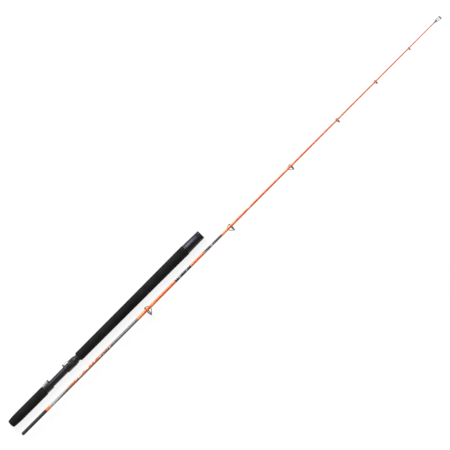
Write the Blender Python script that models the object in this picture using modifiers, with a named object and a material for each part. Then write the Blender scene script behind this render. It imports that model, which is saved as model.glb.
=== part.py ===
"""A boat-type fishing rod in its two sections, lying side by side with the handle end for end.

Both sections run along +Y. A station is a distance along Y from the mouth of the handle's
ferrule socket. The handle's gimbal and the tip section's tip-top point towards +Y, the reel
side of the seat faces -X, and the line guides hang below the blank and lean towards +X.
"""

import math

import bmesh
import bpy
from mathutils import Vector

# Clearances, in metres
GAP = 0.0003  # between pieces that touch, and around what slides or turns
WRAP_GAP = 0.00015  # between a thread wrap, the guide foot in it and the blank

# How the two sections lie
SECTION_SPACING = 0.0385  # between their axes, seen from above
GUIDE_ROLL = math.radians(13.0)  # the guides lean this far from straight down

# Ferrule: the tip section's spigot and the handle's socket
SPIGOT_RADIUS = 0.00435
SPIGOT_START = 0.0051
SPIGOT_LENGTH = 0.0860
SPIGOT_TENON = 0.0300
SOCKET_CLEARANCE = 0.00015
SOCKET_WALL = 0.0015
SOCKET_LENGTH = 0.1000

# Handle, from its socket end to its gimbal
TUBE_WALL = 0.0010
TUBE_START = 0.0300
TUBE_IN_GIMBAL = 0.0200
FOREGRIP_LENGTH = 0.1227
FOREGRIP_RADIUS = 0.0125
FOREGRIP_NOSE = 0.0440
FOREGRIP_FULLNESS = 5.0  # the higher, the blunter the nose
FOREGRIP_INSET = 0.0006  # from the socket's mouth to the foam
FOREGRIP_EDGE = 0.0004  # foam left round the socket at the nose
BARREL_RADIUS = 0.0094
THREAD_DEPTH = 0.00015
THREAD_LENGTH = 0.0480
DECK_DEPTH = 0.00068  # how far the deck is cut into the barrel
NECK_LENGTH = 0.0066  # barrel left showing behind the nut
REAR_GRIP_LENGTH = 0.3850
REAR_GRIP_FRONT_RADIUS = 0.01245
REAR_GRIP_REAR_RADIUS = 0.0139
GIMBAL_LENGTH = 0.0554
GIMBAL_FRONT_RADIUS = 0.0132
GIMBAL_REAR_RADIUS = 0.0120
GIMBAL_BORE_RADIUS = 0.0088
GIMBAL_SLOT_WIDTH = 0.0070
GIMBAL_SLOT_DEPTH = 0.0125
GIMBAL_CROSS_TURN = 60.0  # degrees about the rod from level

# Reel seat hoods and lock nut
HOOD_WALL = 0.0017
HOOD_LENGTH = 0.0225
SLIDING_HOOD_LENGTH = 0.0192
HOOD_OPENING = 0.0526  # between the two hoods' mouths
HOOD_RAMP_MOUTH = 0.0024  # how far the ramp rises above the hood's ring
HOOD_RAMP_TAIL = 0.0001
HOOD_HALF_WIDTH = 0.0081
HOOD_LIP = 0.0027
POCKET_DEPTH = 0.0150
POCKET_HALF_WIDTH = 0.0066
POCKET_ROOF = 0.0009
HOOD_SHOULDER = 0.0035  # rounding of the hood's upper edges
COVER_THICKNESS = 0.0008
COVER_SHOULDER = 0.0045
COVER_HOLLOW_SHOULDER = 0.0038
COVER_TAIL = 0.0015  # left bare behind the cover
PAD_MARGIN = 0.0020  # from a pad to the lip and to the tail
PAD_WIDTH = 0.0084
PAD_DEPTH = 0.0010
PAD_RAISE = 0.0007  # the pads sit this far to the reel side of the axis
NUT_LENGTH = 0.0178
NUT_WALL = 0.0017
NUT_TAIL_WALL = 0.0007

# Blank
BLANK_START_RADIUS = 0.0042
BLANK_TAPER_RADIUS = 0.0040
BLANK_TIP_RADIUS = 0.00115
BLANK_LENGTH = 1.3951
BLANK_BUTT_LENGTH = 0.3216  # the stretch with the slow taper
BLANK_SOLID_LENGTH = 0.3865  # the stretch behind the tip that has no bore
BLANK_WALL = 0.0012
FERRULE_WRAP_LENGTH = 0.0144
FERRULE_WRAP_THICKNESS = 0.0003

# Guides: how far along the blank the ring is, as a share of its length, its outer radius and
# the height of its centre below the blank's axis. For the thread wraps behind and in front of
# the ring: how far from the ring each starts, and its length. A reversed guide has its legs
# in front.
GUIDES = [
    dict(along=0.25676, radius=0.0133, height=0.0210, rear=(0.0096, 0.0208), front=(0.0137, 0.0194)),
    dict(along=0.47294, radius=0.0112, height=0.0175, rear=(0.0124, 0.0198), front=(0.0022, 0.0165)),
    dict(along=0.62726, radius=0.0091, height=0.0145, rear=(0.0119, 0.0139), front=(0.0015, 0.0141)),
    dict(along=0.74640, radius=0.0071, height=0.0117, rear=(0.0061, 0.0126), front=(0.0023, 0.0141)),
    dict(along=0.84467, radius=0.0061, height=0.0103, rear=(0.0063, 0.0111), front=(0.0017, 0.0094)),
    dict(along=0.92975, radius=0.0050, height=0.0088, rear=(0.0023, 0.0087), front=(0.0015, 0.0084)),
]
REVERSED_GUIDES = (1,)
GUIDE_LEAN = math.radians(8.0)
WIRE_BASE = 0.0004  # frame wire radius: this and a share of the ring's radius
WIRE_SHARE = 0.05
HOOP_WIDTH = 1.15  # width of the hoop's wire along the rod over its thickness
LEG_WIRE = 0.9  # a leg's wire over the hoop's
TIP_LEG_WIRE = 0.8
WELD_MARGIN = 0.0012  # bare foot between a thread wrap and the leg on it
SMALLEST_FOOT = 0.0006  # half width
INSERT_THICKNESS_BASE = 0.0003
INSERT_THICKNESS_SHARE = 0.038
INSERT_WIDTH = 1.5  # width along the rod over thickness
FOOT_THICKNESS = 0.0008
FOOT_SHARE = 0.3  # half width of a foot, as a share of the blank's radius
WRAP_THICKNESS = 0.0003
WRAP_TAPER = 0.0010

# Tip-top
TIP_RING_AHEAD = 0.0130  # from the blank's end to the ring
TIP_RING_RADIUS = 0.0050
TIP_RING_HEIGHT = 0.0068
TIP_TUBE_OVERLAP = 0.0095  # how far the tube goes over the blank
TIP_TUBE_WALL = 0.0005
TIP_TUBE_END_WALL = 0.0012

# How finely round pieces are divided
GRIP_STEPS = 32
RING_STEPS = 20
ROD_STEPS = 16

# Places that follow from the sizes above
SOCKET_RADIUS = SPIGOT_RADIUS + SOCKET_CLEARANCE
SOCKET_OUTER = SOCKET_RADIUS + SOCKET_WALL
TUBE_INNER = SOCKET_OUTER + GAP
TUBE_OUTER = TUBE_INNER + TUBE_WALL
SEAT_START = FOREGRIP_LENGTH + GAP
FIXED_MOUTH = SEAT_START + HOOD_LENGTH
SLIDING_MOUTH = FIXED_MOUTH + HOOD_OPENING
NUT_START = SLIDING_MOUTH + SLIDING_HOOD_LENGTH + GAP
SEAT_END = NUT_START + NUT_LENGTH + NECK_LENGTH
REAR_GRIP_START = SEAT_END + GAP
GIMBAL_START = REAR_GRIP_START + REAR_GRIP_LENGTH + GAP
GIMBAL_END = GIMBAL_START + GIMBAL_LENGTH
THREAD_ROOT_RADIUS = BARREL_RADIUS - THREAD_DEPTH
DECK_HEIGHT = BARREL_RADIUS - DECK_DEPTH
HOOD_RADIUS = BARREL_RADIUS + GAP + HOOD_WALL
HOOD_RISE_MOUTH = HOOD_RADIUS + HOOD_RAMP_MOUTH
HOOD_RISE_TAIL = HOOD_RADIUS + HOOD_RAMP_TAIL
COVER_OFFSET = GAP + COVER_THICKNESS
PAD_FLOOR = HOOD_RADIUS - PAD_DEPTH
NUT_RADIUS = BARREL_RADIUS + GAP + NUT_WALL
NUT_TAIL_RADIUS = BARREL_RADIUS + GAP + NUT_TAIL_WALL
SPIGOT_END = SPIGOT_START + SPIGOT_LENGTH
BLANK_START = SPIGOT_END + GAP
BLANK_TAPER_STATION = BLANK_START + BLANK_BUTT_LENGTH
BLANK_TIP_STATION = BLANK_START + BLANK_LENGTH
BLANK_BORE_END = BLANK_TIP_STATION - BLANK_SOLID_LENGTH
TIP_TUBE_START = BLANK_TIP_STATION - TIP_TUBE_OVERLAP
TIP_RING_STATION = BLANK_TIP_STATION + TIP_RING_AHEAD


def wire_radius(ring_radius):
    return WIRE_BASE + WIRE_SHARE * ring_radius


def hoop_reach(ring_radius, across, along):
    """Half size of a leaning hoop in a direction with these shares across and along its lean."""
    wire = wire_radius(ring_radius)
    return (ring_radius - wire) * math.hypot(across, along * math.cos(GUIDE_LEAN)) + wire


ROLL_SIN = math.sin(GUIDE_ROLL)
ROLL_COS = math.cos(GUIDE_ROLL)
LARGEST = GUIDES[0]
HANDLE_AXIS_Z = REAR_GRIP_REAR_RADIUS
TIP_AXIS_Z = LARGEST["height"] * ROLL_COS + hoop_reach(LARGEST["radius"], ROLL_SIN, ROLL_COS)
REACH_LEFT = HOOD_RISE_MOUTH + COVER_OFFSET
REACH_RIGHT = LARGEST["height"] * ROLL_SIN + hoop_reach(LARGEST["radius"], ROLL_COS, ROLL_SIN)
TOTAL_WIDTH = REACH_LEFT + SECTION_SPACING + REACH_RIGHT
TIP_RING_REACH = (TIP_RING_RADIUS - wire_radius(TIP_RING_RADIUS)) * math.sin(GUIDE_LEAN)
TOTAL_LENGTH = TIP_RING_STATION + TIP_RING_REACH + wire_radius(TIP_RING_RADIUS)
HANDLE_AXIS_X = REACH_LEFT - TOTAL_WIDTH / 2
TIP_AXIS_X = HANDLE_AXIS_X + SECTION_SPACING
ORIGIN_STATION = TOTAL_LENGTH / 2


def blank_radius(station):
    """Radius of the blank: a slow taper under the butt paint, then a faster one to the tip."""
    if station < BLANK_TAPER_STATION:
        share = (station - BLANK_START) / (BLANK_TAPER_STATION - BLANK_START)
        return BLANK_START_RADIUS + share * (BLANK_TAPER_RADIUS - BLANK_START_RADIUS)
    share = (station - BLANK_TAPER_STATION) / (BLANK_TIP_STATION - BLANK_TAPER_STATION)
    return BLANK_TAPER_RADIUS + share * (BLANK_TIP_RADIUS - BLANK_TAPER_RADIUS)


# ---------------------------------------------------------------- scene helpers


def clear_scene():
    for item in list(bpy.data.objects):
        bpy.data.objects.remove(item, do_unlink=True)


def new_collection(name):
    collection = bpy.data.collections.new(name)
    bpy.context.scene.collection.children.link(collection)
    return collection


def new_material(name, colour, roughness, metallic):
    material = bpy.data.materials.new(name)
    material.use_nodes = True
    shader = material.node_tree.nodes["Principled BSDF"]
    shader.inputs["Base Color"].default_value = (*colour, 1.0)
    shader.inputs["Roughness"].default_value = roughness
    shader.inputs["Metallic"].default_value = metallic
    return material


def new_frame(name, location, rotation=(0.0, 0.0, 0.0), parent=None):
    """An empty that pieces are placed in."""
    frame = bpy.data.objects.new(name, None)
    frame.empty_display_size = 0.02
    frame.location = location
    frame.rotation_euler = rotation
    frame.parent = parent
    PIECES.objects.link(frame)
    return frame


def new_piece(name, mesh, parent, material):
    piece = bpy.data.objects.new(name, mesh)
    piece.parent = parent
    mesh.materials.append(material)
    PIECES.objects.link(piece)
    return piece


def new_tool(name, mesh, parent):
    """A shape that only cuts, joins or trims another one."""
    tool = bpy.data.objects.new(name, mesh)
    tool.parent = parent
    tool.hide_render = True
    tool.display_type = "WIRE"
    TOOLS.objects.link(tool)
    return tool


def combine(piece, tool, operation):
    modifier = piece.modifiers.new(tool.name, "BOOLEAN")
    modifier.operation = operation
    modifier.solver = "EXACT"
    modifier.object = tool


def cut(piece, tool):
    combine(piece, tool, "DIFFERENCE")


def join(piece, tool):
    combine(piece, tool, "UNION")


def mesh_from(shape):
    mesh = bpy.data.meshes.new("shape")
    shape.to_mesh(mesh)
    shape.free()
    return mesh


# ---------------------------------------------------------------- shape helpers


def add_screw(item, steps):
    """Turns the profile round local Z, which is laid along +Y."""
    item.rotation_euler = (-math.pi / 2, 0.0, 0.0)
    screw = item.modifiers.new("turn", "SCREW")
    screw.axis = "Z"
    screw.angle = 2 * math.pi
    screw.steps = steps
    screw.render_steps = steps
    screw.use_merge_vertices = True
    screw.merge_threshold = 0.00001


def profile_mesh(outline):
    """A closed loop of (station, radius) points: down the outer side, then up the inner side."""
    mesh = bpy.data.meshes.new("profile")
    points = [(radius, 0.0, station) for station, radius in outline]
    edges = [(i, (i + 1) % len(points)) for i in range(len(points))]
    if outline[0][1] == 0.0 and outline[-1][1] == 0.0:
        edges.pop()
    mesh.from_pydata(points, edges, [])
    return mesh


def smooth(piece):
    """Shades a turned piece smooth, with its corners left sharp."""
    split = bpy.context.evaluated_depsgraph_get()
    mesh = bpy.data.meshes.new_from_object(piece.evaluated_get(split))
    mesh.shade_smooth()
    mesh.set_sharp_from_angle(angle=math.radians(35.0))
    piece.modifiers.clear()
    piece.data = mesh


def turned(name, outline, parent, material, steps=GRIP_STEPS):
    piece = new_piece(name, profile_mesh(outline), parent, material)
    add_screw(piece, steps)
    smooth(piece)
    return piece


def turned_tool(name, outline, parent, steps=GRIP_STEPS):
    tool = new_tool(name, profile_mesh(outline), parent)
    add_screw(tool, steps)
    return tool


def rod_tool(name, start, end, radius, parent, steps=GRIP_STEPS):
    """A plain cylinder from one station to another."""
    return turned_tool(name, [(end, 0.0), (end, radius), (start, radius), (start, 0.0)], parent, steps)


def corner(station, radius, size, first, last, count=3):
    """Points of a rounded corner, by its arc's centre and angles in degrees."""
    points = []
    for i in range(count + 1):
        angle = math.radians(first + (last - first) * i / count)
        points.append((station + size * math.cos(angle), radius + size * math.sin(angle)))
    return points


def oval(station, radius, half_length, half_thickness, count=8):
    """Points round an oval section, in the order that a turned outline needs."""
    points = []
    for i in range(count):
        angle = -2 * math.pi * i / count + math.pi / 2
        along = half_length * math.cos(angle)
        points.append((station - along, radius + half_thickness * math.sin(angle)))
    return points


def box_mesh(low, high):
    shape = bmesh.new()
    bmesh.ops.create_cube(shape, size=1.0)
    for vertex in shape.verts:
        for axis in range(3):
            vertex.co[axis] = high[axis] if vertex.co[axis] > 0 else low[axis]
    return mesh_from(shape)


# ---------------------------------------------------------------- handle


def make_socket(handle):
    outline = [
        (SOCKET_LENGTH, SOCKET_OUTER),
        (0.0, SOCKET_OUTER),
        (0.0, SOCKET_RADIUS),
        (SOCKET_LENGTH, SOCKET_RADIUS),
    ]
    turned("ferrule_socket", outline, handle, MATERIALS["graphite"], ROD_STEPS)


def make_tube(handle):
    end = GIMBAL_START + TUBE_IN_GIMBAL
    turned(
        "butt_tube",
        [(end, TUBE_OUTER), (TUBE_START, TUBE_OUTER), (TUBE_START, TUBE_INNER), (end, TUBE_INNER)],
        handle,
        MATERIALS["graphite"],
        ROD_STEPS,
    )


def make_foregrip(handle):
    """A foam grip whose nose rounds down to the socket's mouth."""
    front = FOREGRIP_INSET
    front_radius = SOCKET_OUTER + GAP + FOREGRIP_EDGE
    rounding = 0.0010
    outline = corner(FOREGRIP_LENGTH - rounding, FOREGRIP_RADIUS - rounding, rounding, 0, 90, 2)
    points = 12
    for i in range(points + 1):
        share = 1 - math.sin(math.pi / 2 * i / points)
        rise = (1 - (1 - share) ** 2) ** (1 / FOREGRIP_FULLNESS)
        radius = front_radius + (FOREGRIP_RADIUS - front_radius) * rise
        outline.append((front + FOREGRIP_NOSE * share, radius))
    step = TUBE_START - GAP
    outline += [
        (front, SOCKET_OUTER + GAP),
        (step, SOCKET_OUTER + GAP),
        (step, TUBE_OUTER + GAP),
        (FOREGRIP_LENGTH, TUBE_OUTER + GAP),
    ]
    turned("foregrip", outline, handle, MATERIALS["foam"])


def make_rear_grip(handle):
    """A foam grip that swells slowly towards the gimbal."""
    end = REAR_GRIP_START + REAR_GRIP_LENGTH
    rounding = 0.0026
    outline = []
    points = 6
    for i in range(points + 1):
        share = 1 - i / points
        swell = (REAR_GRIP_REAR_RADIUS - REAR_GRIP_FRONT_RADIUS) * share**1.3
        station = REAR_GRIP_START + rounding + (REAR_GRIP_LENGTH - rounding) * share
        outline.append((station, REAR_GRIP_FRONT_RADIUS + swell))
    outline += corner(REAR_GRIP_START + rounding, REAR_GRIP_FRONT_RADIUS - rounding, rounding, 90, 180)[1:]
    outline += [(REAR_GRIP_START, TUBE_OUTER + GAP), (end, TUBE_OUTER + GAP)]
    turned("rear_grip", outline, handle, MATERIALS["foam"])


def make_barrel(handle):
    """The seat's tube: a flat deck for the reel's foot, and a thread under the nut."""
    thread = SEAT_END - THREAD_LENGTH
    deck_start = FIXED_MOUTH - POCKET_DEPTH + GAP
    barrel = turned(
        "reel_seat_barrel",
        [
            (SEAT_END, THREAD_ROOT_RADIUS),
            (thread, THREAD_ROOT_RADIUS),
            (thread, BARREL_RADIUS),
            (SEAT_START, BARREL_RADIUS),
            (SEAT_START, TUBE_OUTER + GAP),
            (SEAT_END, TUBE_OUTER + GAP),
        ],
        handle,
        MATERIALS["seat"],
    )
    deck = new_tool(
        "deck_cut",
        box_mesh(
            (-2 * BARREL_RADIUS, deck_start, -BARREL_RADIUS),
            (-DECK_HEIGHT, thread - GAP, BARREL_RADIUS),
        ),
        handle,
    )
    cut(barrel, deck)


def make_gimbal(handle):
    """The butt cap, with a cross slot that a rod holder's pin goes into."""
    chamfer = 0.0008
    floor = GIMBAL_END - GIMBAL_SLOT_DEPTH
    seat = GIMBAL_START + TUBE_IN_GIMBAL + GAP
    gimbal = turned(
        "gimbal",
        [
            (floor, 0.0),
            (floor, GIMBAL_BORE_RADIUS),
            (GIMBAL_END, GIMBAL_BORE_RADIUS),
            (GIMBAL_END, GIMBAL_REAR_RADIUS - chamfer),
            (GIMBAL_END - chamfer, GIMBAL_REAR_RADIUS),
            (GIMBAL_START, GIMBAL_FRONT_RADIUS),
            (GIMBAL_START, TUBE_OUTER + GAP),
            (seat, TUBE_OUTER + GAP),
            (seat, 0.0),
        ],
        handle,
        MATERIALS["gimbal"],
    )
    half = GIMBAL_SLOT_WIDTH / 2
    for number in range(2):
        slot = new_tool(
            f"gimbal_slot_{number + 1}",
            box_mesh(
                (-2 * GIMBAL_FRONT_RADIUS, floor, -half),
                (2 * GIMBAL_FRONT_RADIUS, GIMBAL_END + GIMBAL_LENGTH, half),
            ),
            handle,
        )
        slot.rotation_euler = (0.0, math.radians(GIMBAL_CROSS_TURN + 90.0 * number), 0.0)
        cut(gimbal, slot)


def wedge_mesh(tail, mouth, half_width, rise_tail, rise_mouth, rounding):
    """A block on the reel side that rises from its tail to its mouth, with rounded shoulders."""
    shape = bmesh.new()
    bmesh.ops.create_cube(shape, size=1.0)
    shoulders = []
    for vertex in shape.verts:
        at_mouth = vertex.co.y > 0
        on_top = vertex.co.x < 0
        rise = rise_mouth if at_mouth else rise_tail
        vertex.co.x = -rise if on_top else 0.0
        vertex.co.y = mouth if at_mouth else tail
        vertex.co.z = math.copysign(half_width, vertex.co.z)
    for edge in shape.edges:
        first, second = edge.verts
        if first.co.x < 0 and second.co.x < 0 and first.co.z * second.co.z > 0:
            shoulders.append(edge)
    bmesh.ops.bevel(
        shape, geom=shoulders, offset=rounding, segments=3, profile=0.5, affect="EDGES", material=-1
    )
    bmesh.ops.recalc_face_normals(shape, faces=shape.faces)
    return mesh_from(shape)


def obround_mesh(centre_x, centre_y, length, width, low, high):
    """A block with round ends: its length along Y, its width along X, from low to high in Z."""
    curve = bpy.data.curves.new("obround", "CURVE")
    curve.dimensions = "2D"
    curve.fill_mode = "BOTH"
    curve.extrude = (high - low) / 2
    radius = width / 2
    straight = length / 2 - radius
    points = []
    for end in (1, -1):
        for i in range(7):
            angle = math.radians(30.0 * i) + (0.0 if end > 0 else math.pi)
            across = radius * math.cos(angle)
            along = end * straight + radius * math.sin(angle)
            points.append((centre_x + across, centre_y + along))
    spline = curve.splines.new("POLY")
    spline.points.add(len(points) - 1)
    for point, (x, y) in zip(spline.points, points):
        point.co = (x, y, 0.0, 1.0)
    spline.use_cyclic_u = True
    mesh = mesh_of_curve(curve)
    for vertex in mesh.vertices:
        vertex.co.z += (low + high) / 2
    return mesh


def mesh_of_curve(curve):
    """A curve as one welded mesh."""
    holder = bpy.data.objects.new("curve", curve)
    TOOLS.objects.link(holder)
    graph = bpy.context.evaluated_depsgraph_get()
    mesh = bpy.data.meshes.new_from_object(holder.evaluated_get(graph))
    bpy.data.objects.remove(holder)
    shape = bmesh.new()
    shape.from_mesh(mesh)
    bmesh.ops.remove_doubles(shape, verts=shape.verts, dist=0.000001)
    bmesh.ops.recalc_face_normals(shape, faces=shape.faces)
    shape.to_mesh(mesh)
    shape.free()
    return mesh


def make_hood(name, frame, length, towards):
    """A hood with its cover and side pads. Its mouth is at the frame, its tail behind it."""

    def at(distance):
        return -towards * distance

    def wedge(tool_name, tail, mouth, extra, rounding):
        def rise(distance):
            return HOOD_RISE_MOUTH + (HOOD_RISE_TAIL - HOOD_RISE_MOUTH) * distance / length + extra

        if towards > 0:
            low, high, rise_low, rise_high = at(tail), at(mouth), rise(tail), rise(mouth)
        else:
            low, high, rise_low, rise_high = at(mouth), at(tail), rise(mouth), rise(tail)
        mesh = wedge_mesh(low, high, HOOD_HALF_WIDTH + extra, rise_low, rise_high, rounding)
        return new_tool(tool_name, mesh, frame)

    step = HOOD_LIP / 6
    ends = sorted((at(step), at(length)))
    body = turned(
        name,
        [(ends[1], 0.0), (ends[1], HOOD_RADIUS), (ends[0], HOOD_RADIUS), (ends[0], 0.0)],
        frame,
        MATERIALS["seat"],
    )
    join(body, wedge(f"{name}_ramp", length - step, HOOD_LIP / 2, 0.0, HOOD_SHOULDER))
    join(body, wedge(f"{name}_lip", HOOD_LIP, 0.0, COVER_OFFSET, COVER_SHOULDER))
    bore = rod_tool(f"{name}_bore", -2 * length, 2 * length, BARREL_RADIUS + GAP, frame)
    cut(body, bore)
    pocket = sorted((at(-length), at(POCKET_DEPTH)))
    roof = HOOD_RISE_MOUTH - POCKET_ROOF
    pocket_tool = new_tool(
        f"{name}_pocket",
        box_mesh((-roof, pocket[0], -POCKET_HALF_WIDTH), (0.0, pocket[1], POCKET_HALF_WIDTH)),
        frame,
    )
    slope = (HOOD_RISE_MOUTH - HOOD_RISE_TAIL) / length * POCKET_DEPTH
    for vertex in pocket_tool.data.vertices:
        if vertex.co.x < 0 and abs(vertex.co.y - at(POCKET_DEPTH)) < GAP:
            vertex.co.x += slope
    cut(body, pocket_tool)

    cover_name = f"{name}_cover"
    cover = wedge(cover_name, length - COVER_TAIL, HOOD_LIP + GAP, COVER_OFFSET, COVER_SHOULDER)
    TOOLS.objects.unlink(cover)
    PIECES.objects.link(cover)
    cover.hide_render = False
    cover.display_type = "TEXTURED"
    cover.data.materials.append(MATERIALS["hood_cover"])
    cut(cover, wedge(f"{name}_cover_hollow", 2 * length, -length, GAP, COVER_HOLLOW_SHOULDER))
    cut(cover, rod_tool(f"{name}_cover_seat", -2 * length, 2 * length, HOOD_RADIUS + GAP, frame))

    pad_length = length - HOOD_LIP - 2 * PAD_MARGIN
    middle = at(HOOD_LIP + PAD_MARGIN + pad_length / 2)
    for side, word in ((1, "upper"), (-1, "lower")):
        spans = sorted((side * (PAD_FLOOR - GAP), side * 2 * HOOD_RADIUS))
        recess = obround_mesh(
            -PAD_RAISE, middle, pad_length + 2 * GAP, PAD_WIDTH + 2 * GAP, spans[0], spans[1]
        )
        cut(body, new_tool(f"{name}_{word}_recess", recess, frame))
        spans = sorted((side * PAD_FLOOR, side * 2 * HOOD_RADIUS))
        pad = new_piece(
            f"{name}_pad_{word}",
            obround_mesh(-PAD_RAISE, middle, pad_length, PAD_WIDTH, spans[0], spans[1]),
            frame,
            MATERIALS["rubber"],
        )
        skin = rod_tool(
            f"{name}_pad_{word}_skin", -2 * length, 2 * length, HOOD_RADIUS + GAP, frame
        )
        combine(pad, skin, "INTERSECT")


def make_lock_nut(frame):
    """The threaded ring that drives the sliding hood."""
    bore = BARREL_RADIUS + GAP
    rounding = 0.0006
    shoulder = NUT_LENGTH * 0.65
    outline = [(NUT_LENGTH, bore), (NUT_LENGTH, NUT_TAIL_RADIUS - rounding / 2)]
    outline += [(NUT_LENGTH - rounding, NUT_TAIL_RADIUS), (NUT_LENGTH * 0.84, NUT_RADIUS - 0.0004)]
    outline += [(shoulder, NUT_RADIUS), (rounding, NUT_RADIUS), (0.0, NUT_RADIUS - rounding), (0.0, bore)]
    turned("lock_nut", outline, frame, MATERIALS["nut"])


# ---------------------------------------------------------------- tip section


def make_spigot(tip):
    """The male ferrule, glued into the blank by a thinner tenon."""
    tenon = BLANK_START_RADIUS - BLANK_WALL - GAP
    rounding = 0.0012
    outline = [
        (SPIGOT_END + SPIGOT_TENON, 0.0),
        (SPIGOT_END + SPIGOT_TENON, tenon),
        (SPIGOT_END, tenon),
        (SPIGOT_END, SPIGOT_RADIUS),
    ]
    outline += corner(SPIGOT_START + rounding, SPIGOT_RADIUS - rounding, rounding, 90, 180)
    outline.append((SPIGOT_START, 0.0))
    turned("spigot", outline, tip, MATERIALS["graphite"], ROD_STEPS)


def make_blank(tip):
    """The tapered tube, open at its butt end and solid towards its tip."""
    stretches = 4
    step = (BLANK_TIP_STATION - BLANK_TAPER_STATION) / stretches
    stations = [BLANK_TIP_STATION - i * step for i in range(stretches)]
    outer = []
    for station in (*stations, BLANK_TAPER_STATION, BLANK_START):
        outer.append((station, blank_radius(station)))
    inner = []
    for station in (BLANK_START, BLANK_TAPER_STATION, BLANK_BORE_END):
        inner.append((station, blank_radius(station) - BLANK_WALL))
    outline = [(BLANK_TIP_STATION, 0.0)] + outer + inner + [(BLANK_BORE_END, 0.0)]
    turned("blank", outline, tip, MATERIALS["blank"], ROD_STEPS)


def wrap_outline(start, end, thickness):
    def inner(station):
        return blank_radius(station) + WRAP_GAP

    edge = thickness / 3
    return [
        (end, inner(end) + edge),
        (end - WRAP_TAPER, inner(end - WRAP_TAPER) + thickness),
        (start + WRAP_TAPER, inner(start + WRAP_TAPER) + thickness),
        (start, inner(start) + edge),
        (start, inner(start)),
        (end, inner(end)),
    ]


def make_ferrule_wrap(tip):
    outline = wrap_outline(BLANK_START, BLANK_START + FERRULE_WRAP_LENGTH, FERRULE_WRAP_THICKNESS)
    turned("ferrule_wrap", outline, tip, MATERIALS["thread"], ROD_STEPS)


def make_guide_wrap(name, span, tip):
    """A thread wrap that bulges on the underside, over the guide's foot."""
    outline = wrap_outline(span[0], span[1], WRAP_THICKNESS)
    wrap = turned(name, outline, tip, MATERIALS["thread"], ROD_STEPS)
    wrap.rotation_euler = (-math.pi / 2, -GUIDE_ROLL, 0.0)
    lift = FOOT_THICKNESS + 2.5 * WRAP_GAP
    for vertex in wrap.data.vertices:
        radius = math.hypot(vertex.co.x, vertex.co.y)
        off = abs(math.degrees(math.atan2(vertex.co.x, vertex.co.y)))
        share = min(1.0, max(0.0, (67.5 - off) / 45.0))
        grown = radius + lift * share
        vertex.co.x *= grown / radius
        vertex.co.y *= grown / radius


def foot_mesh(near, far, half_width, level):
    """A guide foot: a flat bar on the blank, thinner and narrower at its far end."""
    mesh = box_mesh(
        (-half_width, min(near, far), -level - FOOT_THICKNESS),
        (half_width, max(near, far), -level),
    )
    for vertex in mesh.vertices:
        if abs(vertex.co.y - far) < GAP:
            vertex.co.x *= 0.5
            if vertex.co.z < -level - FOOT_THICKNESS / 2:
                vertex.co.z = -level - FOOT_THICKNESS / 2
    return mesh


def wire_mesh(points, radius):
    """A round wire through these points, with closed ends."""
    curve = bpy.data.curves.new("wire", "CURVE")
    curve.dimensions = "3D"
    curve.bevel_depth = radius
    curve.bevel_resolution = 1
    curve.use_fill_caps = True
    spline = curve.splines.new("POLY")
    spline.points.add(len(points) - 1)
    for point, place in zip(spline.points, points):
        point.co = (*place, 1.0)
    return mesh_of_curve(curve)


def leg_points(start, elbow, end, count=5):
    """A leg bends once, on a smooth curve from the foot to the hoop."""
    points = []
    for i in range(count + 1):
        share = i / count
        bend = elbow * (2 * share * (1 - share))
        points.append(start * (1 - share) ** 2 + bend + end * share**2)
    return points


def make_hoop(name, radius, height, seat):
    """The frame's hoop. Turned round an axis that leans from the rod's own."""
    wire = wire_radius(radius)
    section = oval(0.0, radius - wire, HOOP_WIDTH * wire, wire)
    hoop = turned(name, section, seat, MATERIALS["guide"], RING_STEPS)
    hoop.location = (0.0, 0.0, -height)
    hoop.rotation_euler = (-math.pi / 2 - GUIDE_LEAN, 0.0, 0.0)
    return hoop


def make_insert(name, radius, height, seat):
    """The hard ring that the line runs on."""
    thickness = INSERT_THICKNESS_BASE + INSERT_THICKNESS_SHARE * radius
    middle = radius - 2 * wire_radius(radius) - GAP - thickness
    ring = turned(
        name, oval(0.0, middle, INSERT_WIDTH * thickness, thickness), seat, MATERIALS["insert"], RING_STEPS
    )
    ring.location = (0.0, 0.0, -height)
    ring.rotation_euler = (-math.pi / 2 - GUIDE_LEAN, 0.0, 0.0)


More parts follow.
